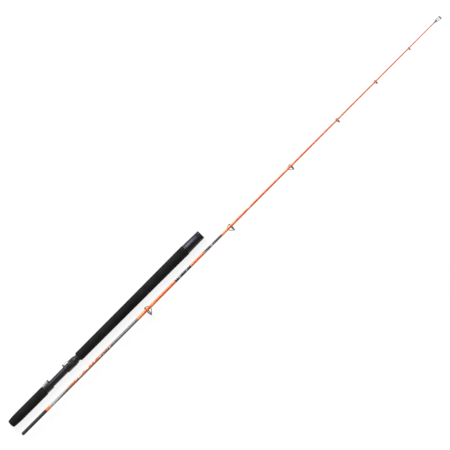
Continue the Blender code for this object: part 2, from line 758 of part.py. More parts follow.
def make_guide(number, sizes, tip):
    """One double-foot guide: hoop, two legs to the long foot, a strut to the short foot."""
    turned_round = number in REVERSED_GUIDES
    spin = math.pi if turned_round else 0.0
    roll = GUIDE_ROLL if turned_round else -GUIDE_ROLL
    ring = BLANK_START + sizes["along"] * BLANK_LENGTH
    seat = new_frame(f"guide_{number}_seat", (0.0, ring, 0.0), (0.0, roll, spin), tip)
    behind, ahead = sizes["rear"][0], sizes["front"][0]
    rear_span = (ring - behind - sizes["rear"][1], ring - behind)
    front_span = (ring + ahead, ring + ahead + sizes["front"][1])
    make_guide_wrap(f"guide_{number}_wrap_rear", rear_span, tip)
    make_guide_wrap(f"guide_{number}_wrap_front", front_span, tip)
    leg_side, strut_side = (ahead, behind) if turned_round else (behind, ahead)
    spans = (rear_span, front_span)
    leg_span, strut_span = spans[::-1] if turned_round else spans
    radius, height = sizes["radius"], sizes["height"]
    wire = wire_radius(radius)
    hoop = make_hoop(f"guide_{number}_frame", radius, height, seat)

    level = blank_radius(leg_span[0]) + WRAP_GAP
    half = max(SMALLEST_FOOT, FOOT_SHARE * blank_radius(leg_span[0]))
    far = leg_side + leg_span[1] - leg_span[0] - WELD_MARGIN
    long_foot = foot_mesh(-(leg_side - WELD_MARGIN - wire), -far, half, level)
    join(hoop, new_tool(f"guide_{number}_long_foot", long_foot, seat))
    reach = radius - wire
    for side in (-1, 1):
        start = Vector((side * half * 0.6, -(leg_side - WELD_MARGIN), -(level + wire)))
        elbow = Vector((side * 0.8 * reach, -0.62 * leg_side, -0.42 * height))
        end = Vector((side * reach, 0.0, -height))
        leg = wire_mesh(leg_points(start, elbow, end), LEG_WIRE * wire)
        join(hoop, new_tool(f"guide_{number}_leg_{'ab'[side > 0]}", leg, seat))

    level = blank_radius(strut_span[0]) + WRAP_GAP
    half = max(SMALLEST_FOOT, FOOT_SHARE * blank_radius(strut_span[0]))
    far = strut_side + strut_span[1] - strut_span[0] - WELD_MARGIN
    near = strut_side - WELD_MARGIN - wire
    short_foot = foot_mesh(near, far, half, level)
    join(hoop, new_tool(f"guide_{number}_short_foot", short_foot, seat))
    top = Vector((0.0, reach * math.sin(GUIDE_LEAN), -height + reach * math.cos(GUIDE_LEAN)))
    base = Vector((0.0, near + wire, -(level + FOOT_THICKNESS / 2)))
    strut = wire_mesh([top, base], LEG_WIRE * wire)
    join(hoop, new_tool(f"guide_{number}_strut", strut, seat))
    make_insert(f"guide_{number}_ring", radius, height, seat)


def make_tip_top(tip):
    """A tube over the blank's end that carries the last ring on three wires."""
    seat = new_frame("tip_top_seat", (0.0, TIP_RING_STATION, 0.0), (0.0, -GUIDE_ROLL, 0.0), tip)
    wire = wire_radius(TIP_RING_RADIUS)
    reach = TIP_RING_RADIUS - wire
    hoop = make_hoop("tip_top_frame", TIP_RING_RADIUS, TIP_RING_HEIGHT, seat)
    bore = blank_radius(TIP_TUBE_START) + WRAP_GAP
    outer = bore + TIP_TUBE_WALL
    tube_end = BLANK_TIP_STATION + GAP + TIP_TUBE_END_WALL - TIP_RING_STATION
    bore_end = BLANK_TIP_STATION + GAP - TIP_RING_STATION
    tube_start = TIP_TUBE_START - TIP_RING_STATION
    tube = turned_tool(
        "tip_top_tube",
        [
            (tube_end, 0.0),
            (tube_end, outer * 0.7),
            (tube_end - 0.0008, outer),
            (tube_start, outer),
            (tube_start, bore),
            (bore_end, bore),
            (bore_end, 0.0),
        ],
        seat,
        ROD_STEPS,
    )
    join(hoop, tube)
    foot = tube_end - 0.0022
    for side in (-1, 1):
        start = Vector((side * outer * 0.8, foot - 0.002, -outer * 0.5))
        elbow = Vector((side * 0.9 * reach, foot + 0.004, -0.3 * TIP_RING_HEIGHT))
        end = Vector((side * reach, 0.0, -TIP_RING_HEIGHT))
        leg = wire_mesh(leg_points(start, elbow, end), TIP_LEG_WIRE * wire)
        join(hoop, new_tool(f"tip_top_leg_{'ab'[side > 0]}", leg, seat))
    rise = reach * math.cos(GUIDE_LEAN)
    top = Vector((0.0, reach * math.sin(GUIDE_LEAN), rise - TIP_RING_HEIGHT))
    base = Vector((0.0, foot, -outer * 0.7))
    join(hoop, new_tool("tip_top_strut", wire_mesh([top, base], TIP_LEG_WIRE * wire), seat))
    cut(hoop, rod_tool("tip_top_bore", tube_start - TIP_TUBE_WALL, bore_end, bore, seat, ROD_STEPS))
    make_insert("tip_top_ring", TIP_RING_RADIUS, TIP_RING_HEIGHT, seat)


# ---------------------------------------------------------------- the whole rod

clear_scene()
PIECES = new_collection("fishing_rod")
TOOLS = new_collection("cutters")
MATERIALS = {
    "foam": new_material("foam", (0.020, 0.020, 0.021), 0.85, 0.0),
    "graphite": new_material("graphite", (0.035, 0.035, 0.037), 0.45, 0.1),
    "seat": new_material("seat", (0.035, 0.034, 0.042), 0.35, 0.3),
    "hood_cover": new_material("hood_cover", (0.45, 0.45, 0.48), 0.30, 0.9),
    "rubber": new_material("rubber", (0.010, 0.010, 0.010), 0.70, 0.0),
    "nut": new_material("nut", (0.035, 0.034, 0.042), 0.35, 0.3),
    "gimbal": new_material("gimbal", (0.040, 0.041, 0.052), 0.32, 0.6),
    "blank": new_material("blank", (0.900, 0.150, 0.010), 0.20, 0.0),
    "thread": new_material("thread", (1.000, 0.280, 0.080), 0.25, 0.0),
    "guide": new_material("guide", (0.10, 0.10, 0.10), 0.30, 0.9),
    "insert": new_material("insert", (0.06, 0.06, 0.065), 0.15, 0.2),
}

handle_frame = new_frame("handle_axis", (HANDLE_AXIS_X, -ORIGIN_STATION, HANDLE_AXIS_Z))
tip_frame = new_frame("tip_section_axis", (TIP_AXIS_X, -ORIGIN_STATION, TIP_AXIS_Z))
fixed_hood_frame = new_frame("fixed_hood_mouth", (0.0, FIXED_MOUTH, 0.0), parent=handle_frame)
sliding_hood_frame = new_frame("sliding_hood_mouth", (0.0, SLIDING_MOUTH, 0.0), parent=handle_frame)
lock_nut_frame = new_frame("lock_nut_axis", (0.0, NUT_START, 0.0), parent=handle_frame)

make_socket(handle_frame)
make_tube(handle_frame)
make_foregrip(handle_frame)
make_barrel(handle_frame)
make_hood("fixed_hood", fixed_hood_frame, HOOD_LENGTH, 1)
make_hood("sliding_hood", sliding_hood_frame, SLIDING_HOOD_LENGTH, -1)
make_lock_nut(lock_nut_frame)
make_rear_grip(handle_frame)
make_gimbal(handle_frame)

make_spigot(tip_frame)
make_blank(tip_frame)
make_ferrule_wrap(tip_frame)
for index, guide in enumerate(GUIDES, start=1):
    make_guide(index, guide, tip_frame)
make_tip_top(tip_frame)
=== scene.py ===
import math

import bmesh
import bpy
from mathutils import Matrix, Vector, noise


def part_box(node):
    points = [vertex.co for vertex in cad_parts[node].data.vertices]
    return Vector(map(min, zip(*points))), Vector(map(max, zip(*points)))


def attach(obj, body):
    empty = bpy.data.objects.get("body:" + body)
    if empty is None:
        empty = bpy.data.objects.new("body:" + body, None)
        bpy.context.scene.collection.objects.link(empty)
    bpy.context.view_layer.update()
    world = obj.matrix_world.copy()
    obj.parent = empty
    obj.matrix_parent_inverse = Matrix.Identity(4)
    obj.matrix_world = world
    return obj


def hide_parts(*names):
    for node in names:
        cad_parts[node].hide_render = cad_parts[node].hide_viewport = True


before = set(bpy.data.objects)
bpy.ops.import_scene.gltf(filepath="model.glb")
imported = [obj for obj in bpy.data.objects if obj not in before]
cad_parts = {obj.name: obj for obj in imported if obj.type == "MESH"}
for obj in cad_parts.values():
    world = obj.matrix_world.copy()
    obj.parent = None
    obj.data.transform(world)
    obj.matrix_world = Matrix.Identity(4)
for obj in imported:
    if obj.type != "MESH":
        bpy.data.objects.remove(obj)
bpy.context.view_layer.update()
print("frame loaded")


def middleOf(node):
    low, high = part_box(node)
    return (low + high) / 2


handle = middleOf("lock_nut")  # its x and z are the handle's axis
tip = middleOf("blank")  # and these the tip section's
slack = 0.0002  # between pieces that touch
millimetres = 1000.0  # in a metre


# Node helpers: a value may be a number, a colour or another node's output

def addNode(tree, kind, **settings):
    made = tree.nodes.new(kind)
    for name, value in settings.items():
        setattr(made, name, value)
    return made


def feed(tree, socket, value):
    if isinstance(value, bpy.types.NodeSocket):
        tree.links.new(value, socket)
    elif socket.type == "RGBA":
        socket.default_value = (*value, 1.0)
    else:
        socket.default_value = value


def calc(tree, operation, *values):
    made = addNode(tree, "ShaderNodeMath", operation=operation)
    for socket, value in zip(made.inputs, values):
        feed(tree, socket, value)
    return made.outputs[0]


def product(tree, *values):
    joined = values[0]
    for value in values[1:]:
        joined = calc(tree, "MULTIPLY", joined, value)
    return joined


def ramped(tree, value, start, end, low=0.0, high=1.0):
    made = addNode(tree, "ShaderNodeMapRange", interpolation_type="SMOOTHSTEP")
    for socket, number in zip(made.inputs, (value, start, end, low, high)):
        feed(tree, socket, number)
    return made.outputs[0]


def between(tree, value, start, end, soft):
    rise = ramped(tree, value, start - soft, start + soft)
    fall = ramped(tree, value, end - soft, end + soft, 1.0, 0.0)
    return product(tree, rise, fall)


def mixed(tree, share, first, second):
    made = addNode(tree, "ShaderNodeMix", data_type="RGBA")
    feed(tree, made.inputs[0], share)
    feed(tree, made.inputs[6], first)
    feed(tree, made.inputs[7], second)
    return made.outputs[2]


def texture(tree, kind, place, scale, **settings):
    made = addNode(tree, f"ShaderNodeTex{kind}", **settings)
    feed(tree, made.inputs["Vector"], place)
    feed(tree, made.inputs["Scale"], scale)
    return made


def noiseAt(tree, place, scale, detail=2.0):
    made = texture(tree, "Noise", place, scale)
    made.inputs["Detail"].default_value = detail
    return made.outputs["Fac"]


def stretched(tree, place, scale):
    made = addNode(tree, "ShaderNodeMapping")
    feed(tree, made.inputs["Vector"], place)
    made.inputs["Scale"].default_value = scale
    return made.outputs[0]


def objectPlace(tree):
    return addNode(tree, "ShaderNodeTexCoord").outputs["Object"]


def separated(tree, place):
    made = addNode(tree, "ShaderNodeSeparateXYZ")
    feed(tree, made.inputs[0], place)
    return made.outputs


def newGroup(name, inputs, outputs):
    group = bpy.data.node_groups.new(name, "ShaderNodeTree")
    for label, value in inputs.items():
        kind = "NodeSocketFloat" if isinstance(value, float) else "NodeSocketVector"
        socket = group.interface.new_socket(label, in_out="INPUT", socket_type=kind)
        socket.default_value = value
    for label in outputs:
        group.interface.new_socket(label, in_out="OUTPUT", socket_type="NodeSocketFloat")
    given, result = addNode(group, "NodeGroupInput"), addNode(group, "NodeGroupOutput")
    return group, given.outputs, result.inputs


# Finishes: pairs are the ends of a ramp, and a bump is (strength, distance)

even = (1.0, 1.0, 1.0)  # marks with no direction
foamLook = {
    "cells": 1600.0, "patches": 35.0, "patchDetail": 4.0, "pitScale": 0.31, "pit": (0.05, 0.28),
    "cellHeight": 0.5, "cellTone": 0.35, "tone": (0.35, 0.85), "bump": (0.55, 0.00012),
    "roughness": (0.3, 0.9, 0.92, 0.78), "dark": (0.0060, 0.0060, 0.0062),
    "light": (0.0135, 0.0135, 0.0140),
}
markLook = {
    "marks": 900.0, "smudges": 60.0, "smudgeDetail": 5.0, "smudge": (0.35, 0.7),
    "tone": (0.3, 0.7), "smudgeRoughness": 0.10, "markRoughness": 0.08, "bump": (0.25, 0.00002),
}
wearLook = {"edge": 0.56, "chips": 700.0, "rim": (0.0, 0.06), "chip": (0.42, 0.62)}


def foamCellsGroup():
    inputs = {"Cells": foamLook["cells"], "Patches": foamLook["patches"]}
    group, given, result = newGroup("foamCells", inputs, ("Height", "Tone"))
    place = objectPlace(group)
    cells = texture(group, "Voronoi", place, given["Cells"], feature="F1").outputs["Distance"]
    pitScale = product(group, given["Cells"], foamLook["pitScale"])
    pits = texture(group, "Voronoi", place, pitScale, feature="F1").outputs["Distance"]
    patches = noiseAt(group, place, given["Patches"], foamLook["patchDetail"])
    pit = ramped(group, pits, *foamLook["pit"])
    height = calc(group, "ADD", product(group, cells, foamLook["cellHeight"]), pit)
    feed(group, result["Height"], height)
    tone = calc(group, "MULTIPLY_ADD", cells, foamLook["cellTone"], patches)
    feed(group, result["Tone"], tone)
    return group


def finishMarksGroup():
    # fine marks drawn out by Stretch, such as brushing or lathe rings, with larger smudges
    inputs = {"Stretch": even, "Marks": markLook["marks"], "Smudges": markLook["smudges"]}
    group, given, result = newGroup("finishMarks", inputs, ("Height", "Smudge"))
    place = objectPlace(group)
    drawn = addNode(group, "ShaderNodeVectorMath", operation="MULTIPLY")
    feed(group, drawn.inputs[0], place)
    feed(group, drawn.inputs[1], given["Stretch"])
    smudges = noiseAt(group, place, given["Smudges"], markLook["smudgeDetail"])
    feed(group, result["Height"], noiseAt(group, drawn.outputs[0], given["Marks"]))
    feed(group, result["Smudge"], ramped(group, smudges, *markLook["smudge"]))
    return group


def edgeWearGroup():
    inputs = {"Edge": wearLook["edge"], "Break up": wearLook["chips"]}
    group, given, result = newGroup("edgeWear", inputs, ("Mask",))
    bends = addNode(group, "ShaderNodeNewGeometry").outputs["Pointiness"]
    chips = noiseAt(group, objectPlace(group), given["Break up"])
    rim = ramped(group, calc(group, "SUBTRACT", bends, given["Edge"]), *wearLook["rim"])
    feed(group, result["Mask"], product(group, rim, ramped(group, chips, *wearLook["chip"])))
    return group


foamCells = foamCellsGroup()
finishMarks = finishMarksGroup()
edgeWear = edgeWearGroup()


def placeGroup(tree, group, **values):
    made = addNode(tree, "ShaderNodeGroup", node_tree=group)
    for label, value in values.items():
        made.inputs[label].default_value = value
    return made.outputs


def newMaterial(name, **fixed):
    material = bpy.data.materials.new(name)
    material.use_nodes = True
    shader = material.node_tree.nodes["Principled BSDF"]
    for label, value in fixed.items():
        shader.inputs[label.replace("_", " ")].default_value = value
    return material, material.node_tree, shader.inputs


def bumpInto(tree, sockets, height, strength, distance):
    made = addNode(tree, "ShaderNodeBump")
    made.inputs["Strength"].default_value = strength
    made.inputs["Distance"].default_value = distance
    feed(tree, made.inputs["Height"], height)
    feed(tree, sockets["Normal"], made.outputs[0])


def foamMaterial():
    material, tree, sockets = newMaterial("foamBlack", Specular_IOR_Level=0.14)
    cells = placeGroup(tree, foamCells)
    tone = ramped(tree, cells["Tone"], *foamLook["tone"])
    feed(tree, sockets["Base Color"], mixed(tree, tone, foamLook["dark"], foamLook["light"]))
    feed(tree, sockets["Roughness"], ramped(tree, cells["Tone"], *foamLook["roughness"]))
    bumpInto(tree, sockets, cells["Height"], *foamLook["bump"])
    return material


def metalMaterial(name, dark, light, worn, roughness, stretch, wear, **fixed):
    # a machined or moulded finish: marks, smudges and bright edges
    material, tree, sockets = newMaterial(name, **fixed)
    marks = placeGroup(tree, finishMarks, Stretch=stretch)
    edges = placeGroup(tree, edgeWear, Edge=wear)
    colour = mixed(tree, ramped(tree, marks["Height"], *markLook["tone"]), dark, light)
    feed(tree, sockets["Base Color"], mixed(tree, edges["Mask"], colour, worn))
    smudged = calc(tree, "MULTIPLY_ADD", marks["Smudge"], markLook["smudgeRoughness"], roughness)
    marked = calc(tree, "MULTIPLY_ADD", marks["Height"], markLook["markRoughness"], smudged)
    feed(tree, sockets["Roughness"], marked)
    bumpInto(tree, sockets, marks["Height"], *markLook["bump"])
    return material


# the groove colour is painted shade in the creases between the thread's turns; the crest colour is
# the thread's own orange
thread = {
    "half": 0.11, "fibreStretch": (0.30, 2.2, 0.30), "fibreScale": 2500.0,
    "fibreDetail": 3.0, "groove": (0.82, 0.205, 0.040), "crest": (1.0, 0.30, 0.075),
    "fibre": (0.95, 0.36, 0.13), "fibres": (0.45, 0.8), "roughness": (0.3, 0.7, 0.30, 0.42),
    "bump": (0.35, 0.00004),
}


def threadMaterial():
    material, tree, sockets = newMaterial(
        "threadOrange", Coat_Weight=0.6, Coat_Roughness=0.07, Specular_IOR_Level=0.1
    )
    place = objectPlace(tree)
    along = product(tree, separated(tree, place)["Y"], millimetres)
    turns = product(tree, calc(tree, "PINGPONG", along, thread["half"]), 1 / thread["half"])
    drawn = stretched(tree, place, thread["fibreStretch"])
    fibres = noiseAt(tree, drawn, thread["fibreScale"], thread["fibreDetail"])
    # painted shade: the grooves between turns get the darker orange
    colour = mixed(tree, turns, thread["groove"], thread["crest"])
    colour = mixed(tree, ramped(tree, fibres, *thread["fibres"]), colour, thread["fibre"])
    feed(tree, sockets["Base Color"], colour)
    feed(tree, sockets["Roughness"], ramped(tree, fibres, *thread["roughness"]))
    bumpInto(tree, sockets, turns, *thread["bump"])
    return material


# the lighter orange is a painted highlight on the blank's -X side, towards the key light; the
# orange-red and the spear's red are painted shade on its +X side, and the orange-red is also a
# printed band
paint = {
    "orange": (0.93, 0.150, 0.004), "orangeHighlight": (1.0, 0.270, 0.004),
    "orangeRed": (0.86, 0.100, 0.005), "spearShadedRed": (0.62, 0.130, 0.040),
    "silver": (0.62, 0.62, 0.60), "silverDark": (0.165, 0.160, 0.142),
    "grey": (0.185, 0.178, 0.160), "greyLight": (0.27, 0.26, 0.245),
    "white": (0.80, 0.78, 0.78), "salmon": (0.85, 0.30, 0.17), "lilac": (0.46, 0.35, 0.37),
    "black": (0.012, 0.011, 0.012), "maroon": (0.10, 0.016, 0.014),
}
# along the blank is in millimetres from its butt, as (start, end, softness); across is -1 to 1
art = {
    "soft": 0.08, "brushStretch": (1.0, 0.28, 1.0), "brushScale": 420.0,
    "detail": 3.0, "brush": 0.35, "paintedSheenBrush": 0.5, "shadedToOrange": (-0.5, 1.0),
    "orangeToHighlight": (0.2, 0.95),
    "silver": (-5.0, 327.4, 0.6), "weave": 0.9, "weaveBrush": 0.6, "hatch": (0.25, 0.65),
    "silverHatch": 0.55, "darkSide": (10.0, 70.0, 0.9, -0.12), "plainAcross": (-0.8, 0.3),
    "plainHatch": 0.25, "plain": (205.0, 240.0),
    "spear": (60.0, 182.0, 3.0), "spearWidth": (58.0, 112.0, 0.0, 0.62), "spearShift": 0.22,
    "spearAcross": (-0.9, 0.2), "fleckSlant": 5.0, "fleckAcross": 1.3, "fleckAlong": 0.30,
    "block": (461.4, 516.3, 0.3), "blockAcross": (-0.7, 0.8), "blockFlecks": (0.24, 0.28),
    "bars": ((461.4, 465.2, 0.3), (487.6, 491.2, 0.3), (512.4, 516.3, 0.3)),
    "shade": (566.0, 627.6, 8.0), "shadeOver": -0.15, "shadeAcross": (0.2, 0.9),
    "wedge": (549.0, 627.6, 1.0), "wedgeEdge": (548.0, 580.0, -1.1, 0.22),
    "crumbs": (572.0, 627.6, 3.0), "crumbFlecks": (0.74, 0.80), "crumbShare": 0.5,
    "patch": (588.0, 595.5, 1.0), "patchOver": -0.6,
    "slash": (718.5, 729.0, 0.8), "slashSlant": 4.0, "slashShare": 0.45,
    "smudges": 45.0, "roughness": (0.10, 0.24), "gritStretch": (1.0, 3.0, 1.0),
    "gritScale": 260.0, "bump": (0.06, 0.00005),
}
# colour, share of it, range along, under and over across, and the fleck's channel and ramp
flecked = (
    ("salmon", 0.85, (106.0, 178.0, 2.0), 0.1, None, (0, 0.62, 0.66)),
    ("white", 0.9, (106.0, 176.0, 2.0), -0.1, None, (1, 0.76, 0.80)),
    ("orangeRed", 1.0, (178.5, 187.5, 1.0), 0.35, None, None),
    ("black", 1.0, (190.0, 229.0, 1.5), 0.45, -0.55, (2, 0.52, 0.58)),
    ("white", 1.0, (190.0, 229.0, 1.5), 0.45, -0.35, (1, 0.62, 0.66)),
    ("orange", 1.0, (182.0, 234.0, 2.0), -0.55, None, None),
)


def blankMaterial():
    low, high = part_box("blank")
    material, tree, sockets = newMaterial(
        "paintedBlank", Coat_Weight=0.45, Coat_Roughness=0.10, Specular_IOR_Level=0.1
    )
    place = objectPlace(tree)
    split = separated(tree, place)
    along = product(tree, calc(tree, "SUBTRACT", split["Y"], low.y), millimetres)
    across = product(tree, calc(tree, "SUBTRACT", split["X"], tip.x), 2 / (high.x - low.x))
    drawn = stretched(tree, place, art["brushStretch"])
    ragged = calc(tree, "SUBTRACT", noiseAt(tree, drawn, art["brushScale"], art["detail"]), 0.5)
    edge = calc(tree, "MULTIPLY_ADD", ragged, art["brush"], across)  # across, with a brushed edge

    def within(start, end, soft):
        return between(tree, along, start, end, soft)

    def under(limit):
        past = calc(tree, "SUBTRACT", edge, limit)
        return ramped(tree, past, -art["soft"], art["soft"], 1.0, 0.0)

    def over(limit):
        return ramped(tree, calc(tree, "SUBTRACT", edge, limit), -art["soft"], art["soft"])

    def acrossMix(ends, first, second):
        return mixed(tree, ramped(tree, across, *ends), paint[first], paint[second])

    # painted light: the orange turns lighter and yellower towards the -X side, a painted highlight,
    # and redder towards the +X side, painted shade, with a brushed edge to the change
    paintedSheen = calc(tree, "MULTIPLY_ADD", ragged, art["paintedSheenBrush"], product(tree, across, -1.0))
    shadedToOrange = ramped(tree, paintedSheen, *art["shadedToOrange"])
    colour = mixed(tree, shadedToOrange, paint["orangeRed"], paint["orange"])
    colour = mixed(tree, ramped(tree, paintedSheen, *art["orangeToHighlight"]), colour, paint["orangeHighlight"])

    # silver butt, its darker side growing from the ferrule, then plain grey
    weave = calc(tree, "PINGPONG", along, art["weave"])
    woven = calc(tree, "ADD", weave, product(tree, ragged, art["weaveBrush"]))
    hatch = ramped(tree, woven, *art["hatch"])
    silverHatch = product(tree, hatch, art["silverHatch"])
    silver = mixed(tree, silverHatch, paint["silver"], paint["silverDark"])
    darkSide = over(ramped(tree, along, *art["darkSide"]))
    silver = mixed(tree, darkSide, silver, paint["silverDark"])
    plain = acrossMix(art["plainAcross"], "greyLight", "grey")
    plain = mixed(tree, product(tree, hatch, art["plainHatch"]), plain, paint["silverDark"])
    silver = mixed(tree, ramped(tree, along, *art["plain"]), silver, plain)
    colour = mixed(tree, within(*art["silver"]), colour, silver)

    # orange spear, then broken orange with pale and dark flecks
    offset = calc(tree, "ABSOLUTE", calc(tree, "ADD", edge, art["spearShift"]))
    past = calc(tree, "SUBTRACT", offset, ramped(tree, along, *art["spearWidth"]))
    spear = ramped(tree, past, -art["soft"], art["soft"], 1.0, 0.0)
    # painted shade: the spear turns darker and redder towards the +X side, away from the key light,
    # as the rest of the orange does
    orange = acrossMix(art["spearAcross"], "orange", "spearShadedRed")
    colour = mixed(tree, product(tree, spear, within(*art["spear"])), colour, orange)
    slant = calc(tree, "MULTIPLY_ADD", across, art["fleckSlant"], along)
    lean = addNode(tree, "ShaderNodeCombineXYZ")
    feed(tree, lean.inputs["X"], product(tree, across, art["fleckAcross"]))
    feed(tree, lean.inputs["Y"], product(tree, slant, art["fleckAlong"]))
    fleck = addNode(tree, "ShaderNodeSeparateColor")
    cells = texture(tree, "Voronoi", lean.outputs[0], 1.0, feature="F1")
    feed(tree, fleck.inputs[0], cells.outputs["Color"])
    fleck = fleck.outputs
    for name, share, stretch, below, above, channel in flecked:
        masks = [within(*stretch), under(below)]
        if above is not None:
            masks.append(over(above))
        if channel:
            masks.append(ramped(tree, fleck[channel[0]], *channel[1:]))
        colour = mixed(tree, product(tree, *masks, share), colour, paint[name])

    # block of black and silver bars past the first guide
    block = within(*art["block"])
    colour = mixed(tree, block, colour, acrossMix(art["blockAcross"], "silver", "greyLight"))
    flecks = product(tree, ramped(tree, fleck[2], *art["blockFlecks"]), block)
    for mask in (flecks, *(within(*bar) for bar in art["bars"])):
        colour = mixed(tree, mask, colour, paint["black"])

    # dark wedge before the second guide, lilac below it
    shade = product(tree, over(art["shadeOver"]), within(*art["shade"]))
    colour = mixed(tree, shade, colour, acrossMix(art["shadeAcross"], "lilac", "maroon"))
    wedge = product(tree, under(ramped(tree, along, *art["wedgeEdge"])), within(*art["wedge"]))
    colour = mixed(tree, wedge, colour, paint["black"])
    crumbs = (ramped(tree, fleck[0], *art["crumbFlecks"]), wedge, within(*art["crumbs"]))
    colour = mixed(tree, product(tree, *crumbs, art["crumbShare"]), colour, paint["grey"])
    patch = product(tree, within(*art["patch"]), over(art["patchOver"]))
    colour = mixed(tree, patch, colour, paint["lilac"])

    # one silver slash past the second guide
    slanted = calc(tree, "MULTIPLY_ADD", edge, art["slashSlant"], along)
    slash = product(tree, between(tree, slanted, *art["slash"]), art["slashShare"])
    colour = mixed(tree, slash, colour, paint["silver"])

    smudge = placeGroup(tree, finishMarks, Smudges=art["smudges"])["Smudge"]
    feed(tree, sockets["Base Color"], colour)
    feed(tree, sockets["Roughness"], calc(tree, "MULTIPLY_ADD", smudge, *art["roughness"]))
    grit = stretched(tree, place, art["gritStretch"])
    grit = noiseAt(tree, grit, art["gritScale"], art["detail"])
    bumpInto(tree, sockets, grit, *art["bump"])
    return material


rings = (0.12, 6.0, 0.12)  # marks that run round the rod
brushing = (3.0, 0.10, 3.0)  # marks that run along it
# name, darker and lighter tone, worn edge, roughness, stretch of the marks, level of edge wear
materials = {
    "foam": foamMaterial(),
    "graphite": metalMaterial(
        "graphiteTube", (0.030, 0.030, 0.031), (0.055, 0.055, 0.057), (0.11, 0.11, 0.11),
        0.42, rings, 0.60,
    ),
    "spigot": metalMaterial(
        "groundGraphite", (0.028, 0.028, 0.0285), (0.052, 0.052, 0.053), (0.09, 0.09, 0.09),
        0.40, rings, 0.62, Specular_IOR_Level=0.25,
    ),
    "seat": metalMaterial(
        "seatGraphite", (0.0085, 0.0082, 0.0115), (0.020, 0.0195, 0.026), (0.09, 0.09, 0.10),
        0.24, brushing, 0.60, Coat_Weight=0.12, Coat_Roughness=0.15, Specular_IOR_Level=0.30,
    ),
    "hoodCover": metalMaterial(
        "coverAluminium", (0.26, 0.26, 0.28), (0.42, 0.42, 0.445), (0.60, 0.60, 0.62),
        0.30, brushing, 0.60, Metallic=1.0,
    ),
    "pad": metalMaterial(
        "padRubber", (0.006, 0.006, 0.006), (0.014, 0.014, 0.014), (0.03, 0.03, 0.03),
        0.66, even, 0.62, Specular_IOR_Level=0.3,
    ),
    "nut": metalMaterial(
        "nutGraphite", (0.0075, 0.0073, 0.0100), (0.017, 0.0165, 0.0215), (0.08, 0.08, 0.09),
        0.30, rings, 0.60, Coat_Weight=0.10, Coat_Roughness=0.2, Specular_IOR_Level=0.28,
    ),
    "gimbal": metalMaterial(
        "anodisedGimbal", (0.026, 0.027, 0.033), (0.046, 0.047, 0.057), (0.13, 0.13, 0.14),
        0.30, rings, 0.62, Metallic=0.85, Specular_IOR_Level=0.3,
    ),
    "blank": blankMaterial(),
    "thread": threadMaterial(),
    "wire": metalMaterial(
        "guideWire", (0.13, 0.13, 0.13), (0.24, 0.24, 0.245), (0.50, 0.50, 0.50),
        0.22, even, 0.62, Metallic=1.0,
    ),
    "ring": metalMaterial(
        "guideCeramic", (0.035, 0.035, 0.038), (0.055, 0.055, 0.060), (0.12, 0.12, 0.12),
        0.10, even, 0.65, Coat_Weight=0.6, Coat_Roughness=0.03,
    ),
}
print("materials made")


# Shape helpers

hair = 0.00001  # the least step between two rows
sideways = Vector((1, 0, 0))


def halfWidth(node):
    low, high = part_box(node)
    return (high.x - low.x) / 2


def rowsOf(start, end, count):
    # the rows after the start, evenly spaced
    return [start + (end - start) * index / count for index in range(1, count + 1)]


def softened(corners, steps=4):
    # rounds each (y, radius, rounding) corner of an outline
    outline = []
    for index, (y, radius, rounding) in enumerate(corners):
        here = Vector((y, radius))
        if rounding == 0:
            outline.append(here)
            continue
        before = (Vector(corners[index - 1][:2]) - here).normalized() * rounding
        after = (Vector(corners[(index + 1) % len(corners)][:2]) - here).normalized() * rounding
        for step in range(steps + 1):
            share = step / steps
            outline.append(here + before * (1 - share) ** 2 + after * share**2)
    return outline


def spaced(outline, gap):
    # extra points where two neighbours are further apart than the gap
    filled = []
    for here, after in zip(outline, outline[1:] + outline[:1]):
        count = max(1, round((after - here).length / gap))
        filled += [here.lerp(after, step / count) for step in range(count)]
    return filled


def turn(outline, axis, steps, solid=False):
    # a solid's outline starts and ends on the axis
    shape = bmesh.new()
    verts = [shape.verts.new((axis.x, y, axis.z + radius)) for y, radius in outline]
    pairs = list(zip(verts, verts[1:]))
    if not solid:
        pairs.append((verts[-1], verts[0]))
    edges = [shape.edges.new(pair) for pair in pairs]
    bmesh.ops.spin(
        shape, geom=verts + edges, cent=(axis.x, 0, axis.z), axis=(0, 1, 0), angle=2 * math.pi,
        steps=steps, use_merge=True,
    )
    bmesh.ops.remove_doubles(shape, verts=shape.verts, dist=hair / 100)
    bmesh.ops.recalc_face_normals(shape, faces=shape.faces)
    return shape


def polar(point, axis):
    # the angle is 0 on the reel's side of the handle
    across, up = axis.x - point.x, point.z - axis.z
    return math.hypot(across, up), math.atan2(up, across)


def setPolar(point, axis, radius, angle):
    point.x = axis.x - radius * math.cos(angle)
    point.z = axis.z + radius * math.sin(angle)


def blockReach(angle, rise, half, corner):
    # from the axis to the face of a block with rounded shoulders that stands at angle 0
    along, across = math.cos(angle), abs(math.sin(angle))
    if along <= 0:
        return 0.0
    if rise / along * across <= half - corner:
        return rise / along
    if half / across * along <= rise - corner:
        return half / across
    near = along * (rise - corner) + across * (half - corner)
    far = (rise - corner) ** 2 + (half - corner) ** 2 - corner**2
    return near + math.sqrt(max(near * near - far, 0.0))


def softMax(first, second, fillet):
    share = max(fillet - abs(first - second), 0.0) / fillet
    return max(first, second) + share * share * fillet / 4


def roundedDrop(distance, rounding):
    # how far a rounded edge falls back at this distance from its end
    if distance >= rounding:
        return 0.0
    return rounding - math.sqrt(max(rounding**2 - (rounding - distance) ** 2, 0.0))


def extruded(name, shape, move):
    made = bmesh.ops.extrude_face_region(shape, geom=shape.faces[:])["geom"]
    top = [item for item in made if isinstance(item, bmesh.types.BMVert)]
    bmesh.ops.translate(shape, verts=top, vec=move)
    bmesh.ops.recalc_face_normals(shape, faces=shape.faces)
    return meshObject(name, shape)


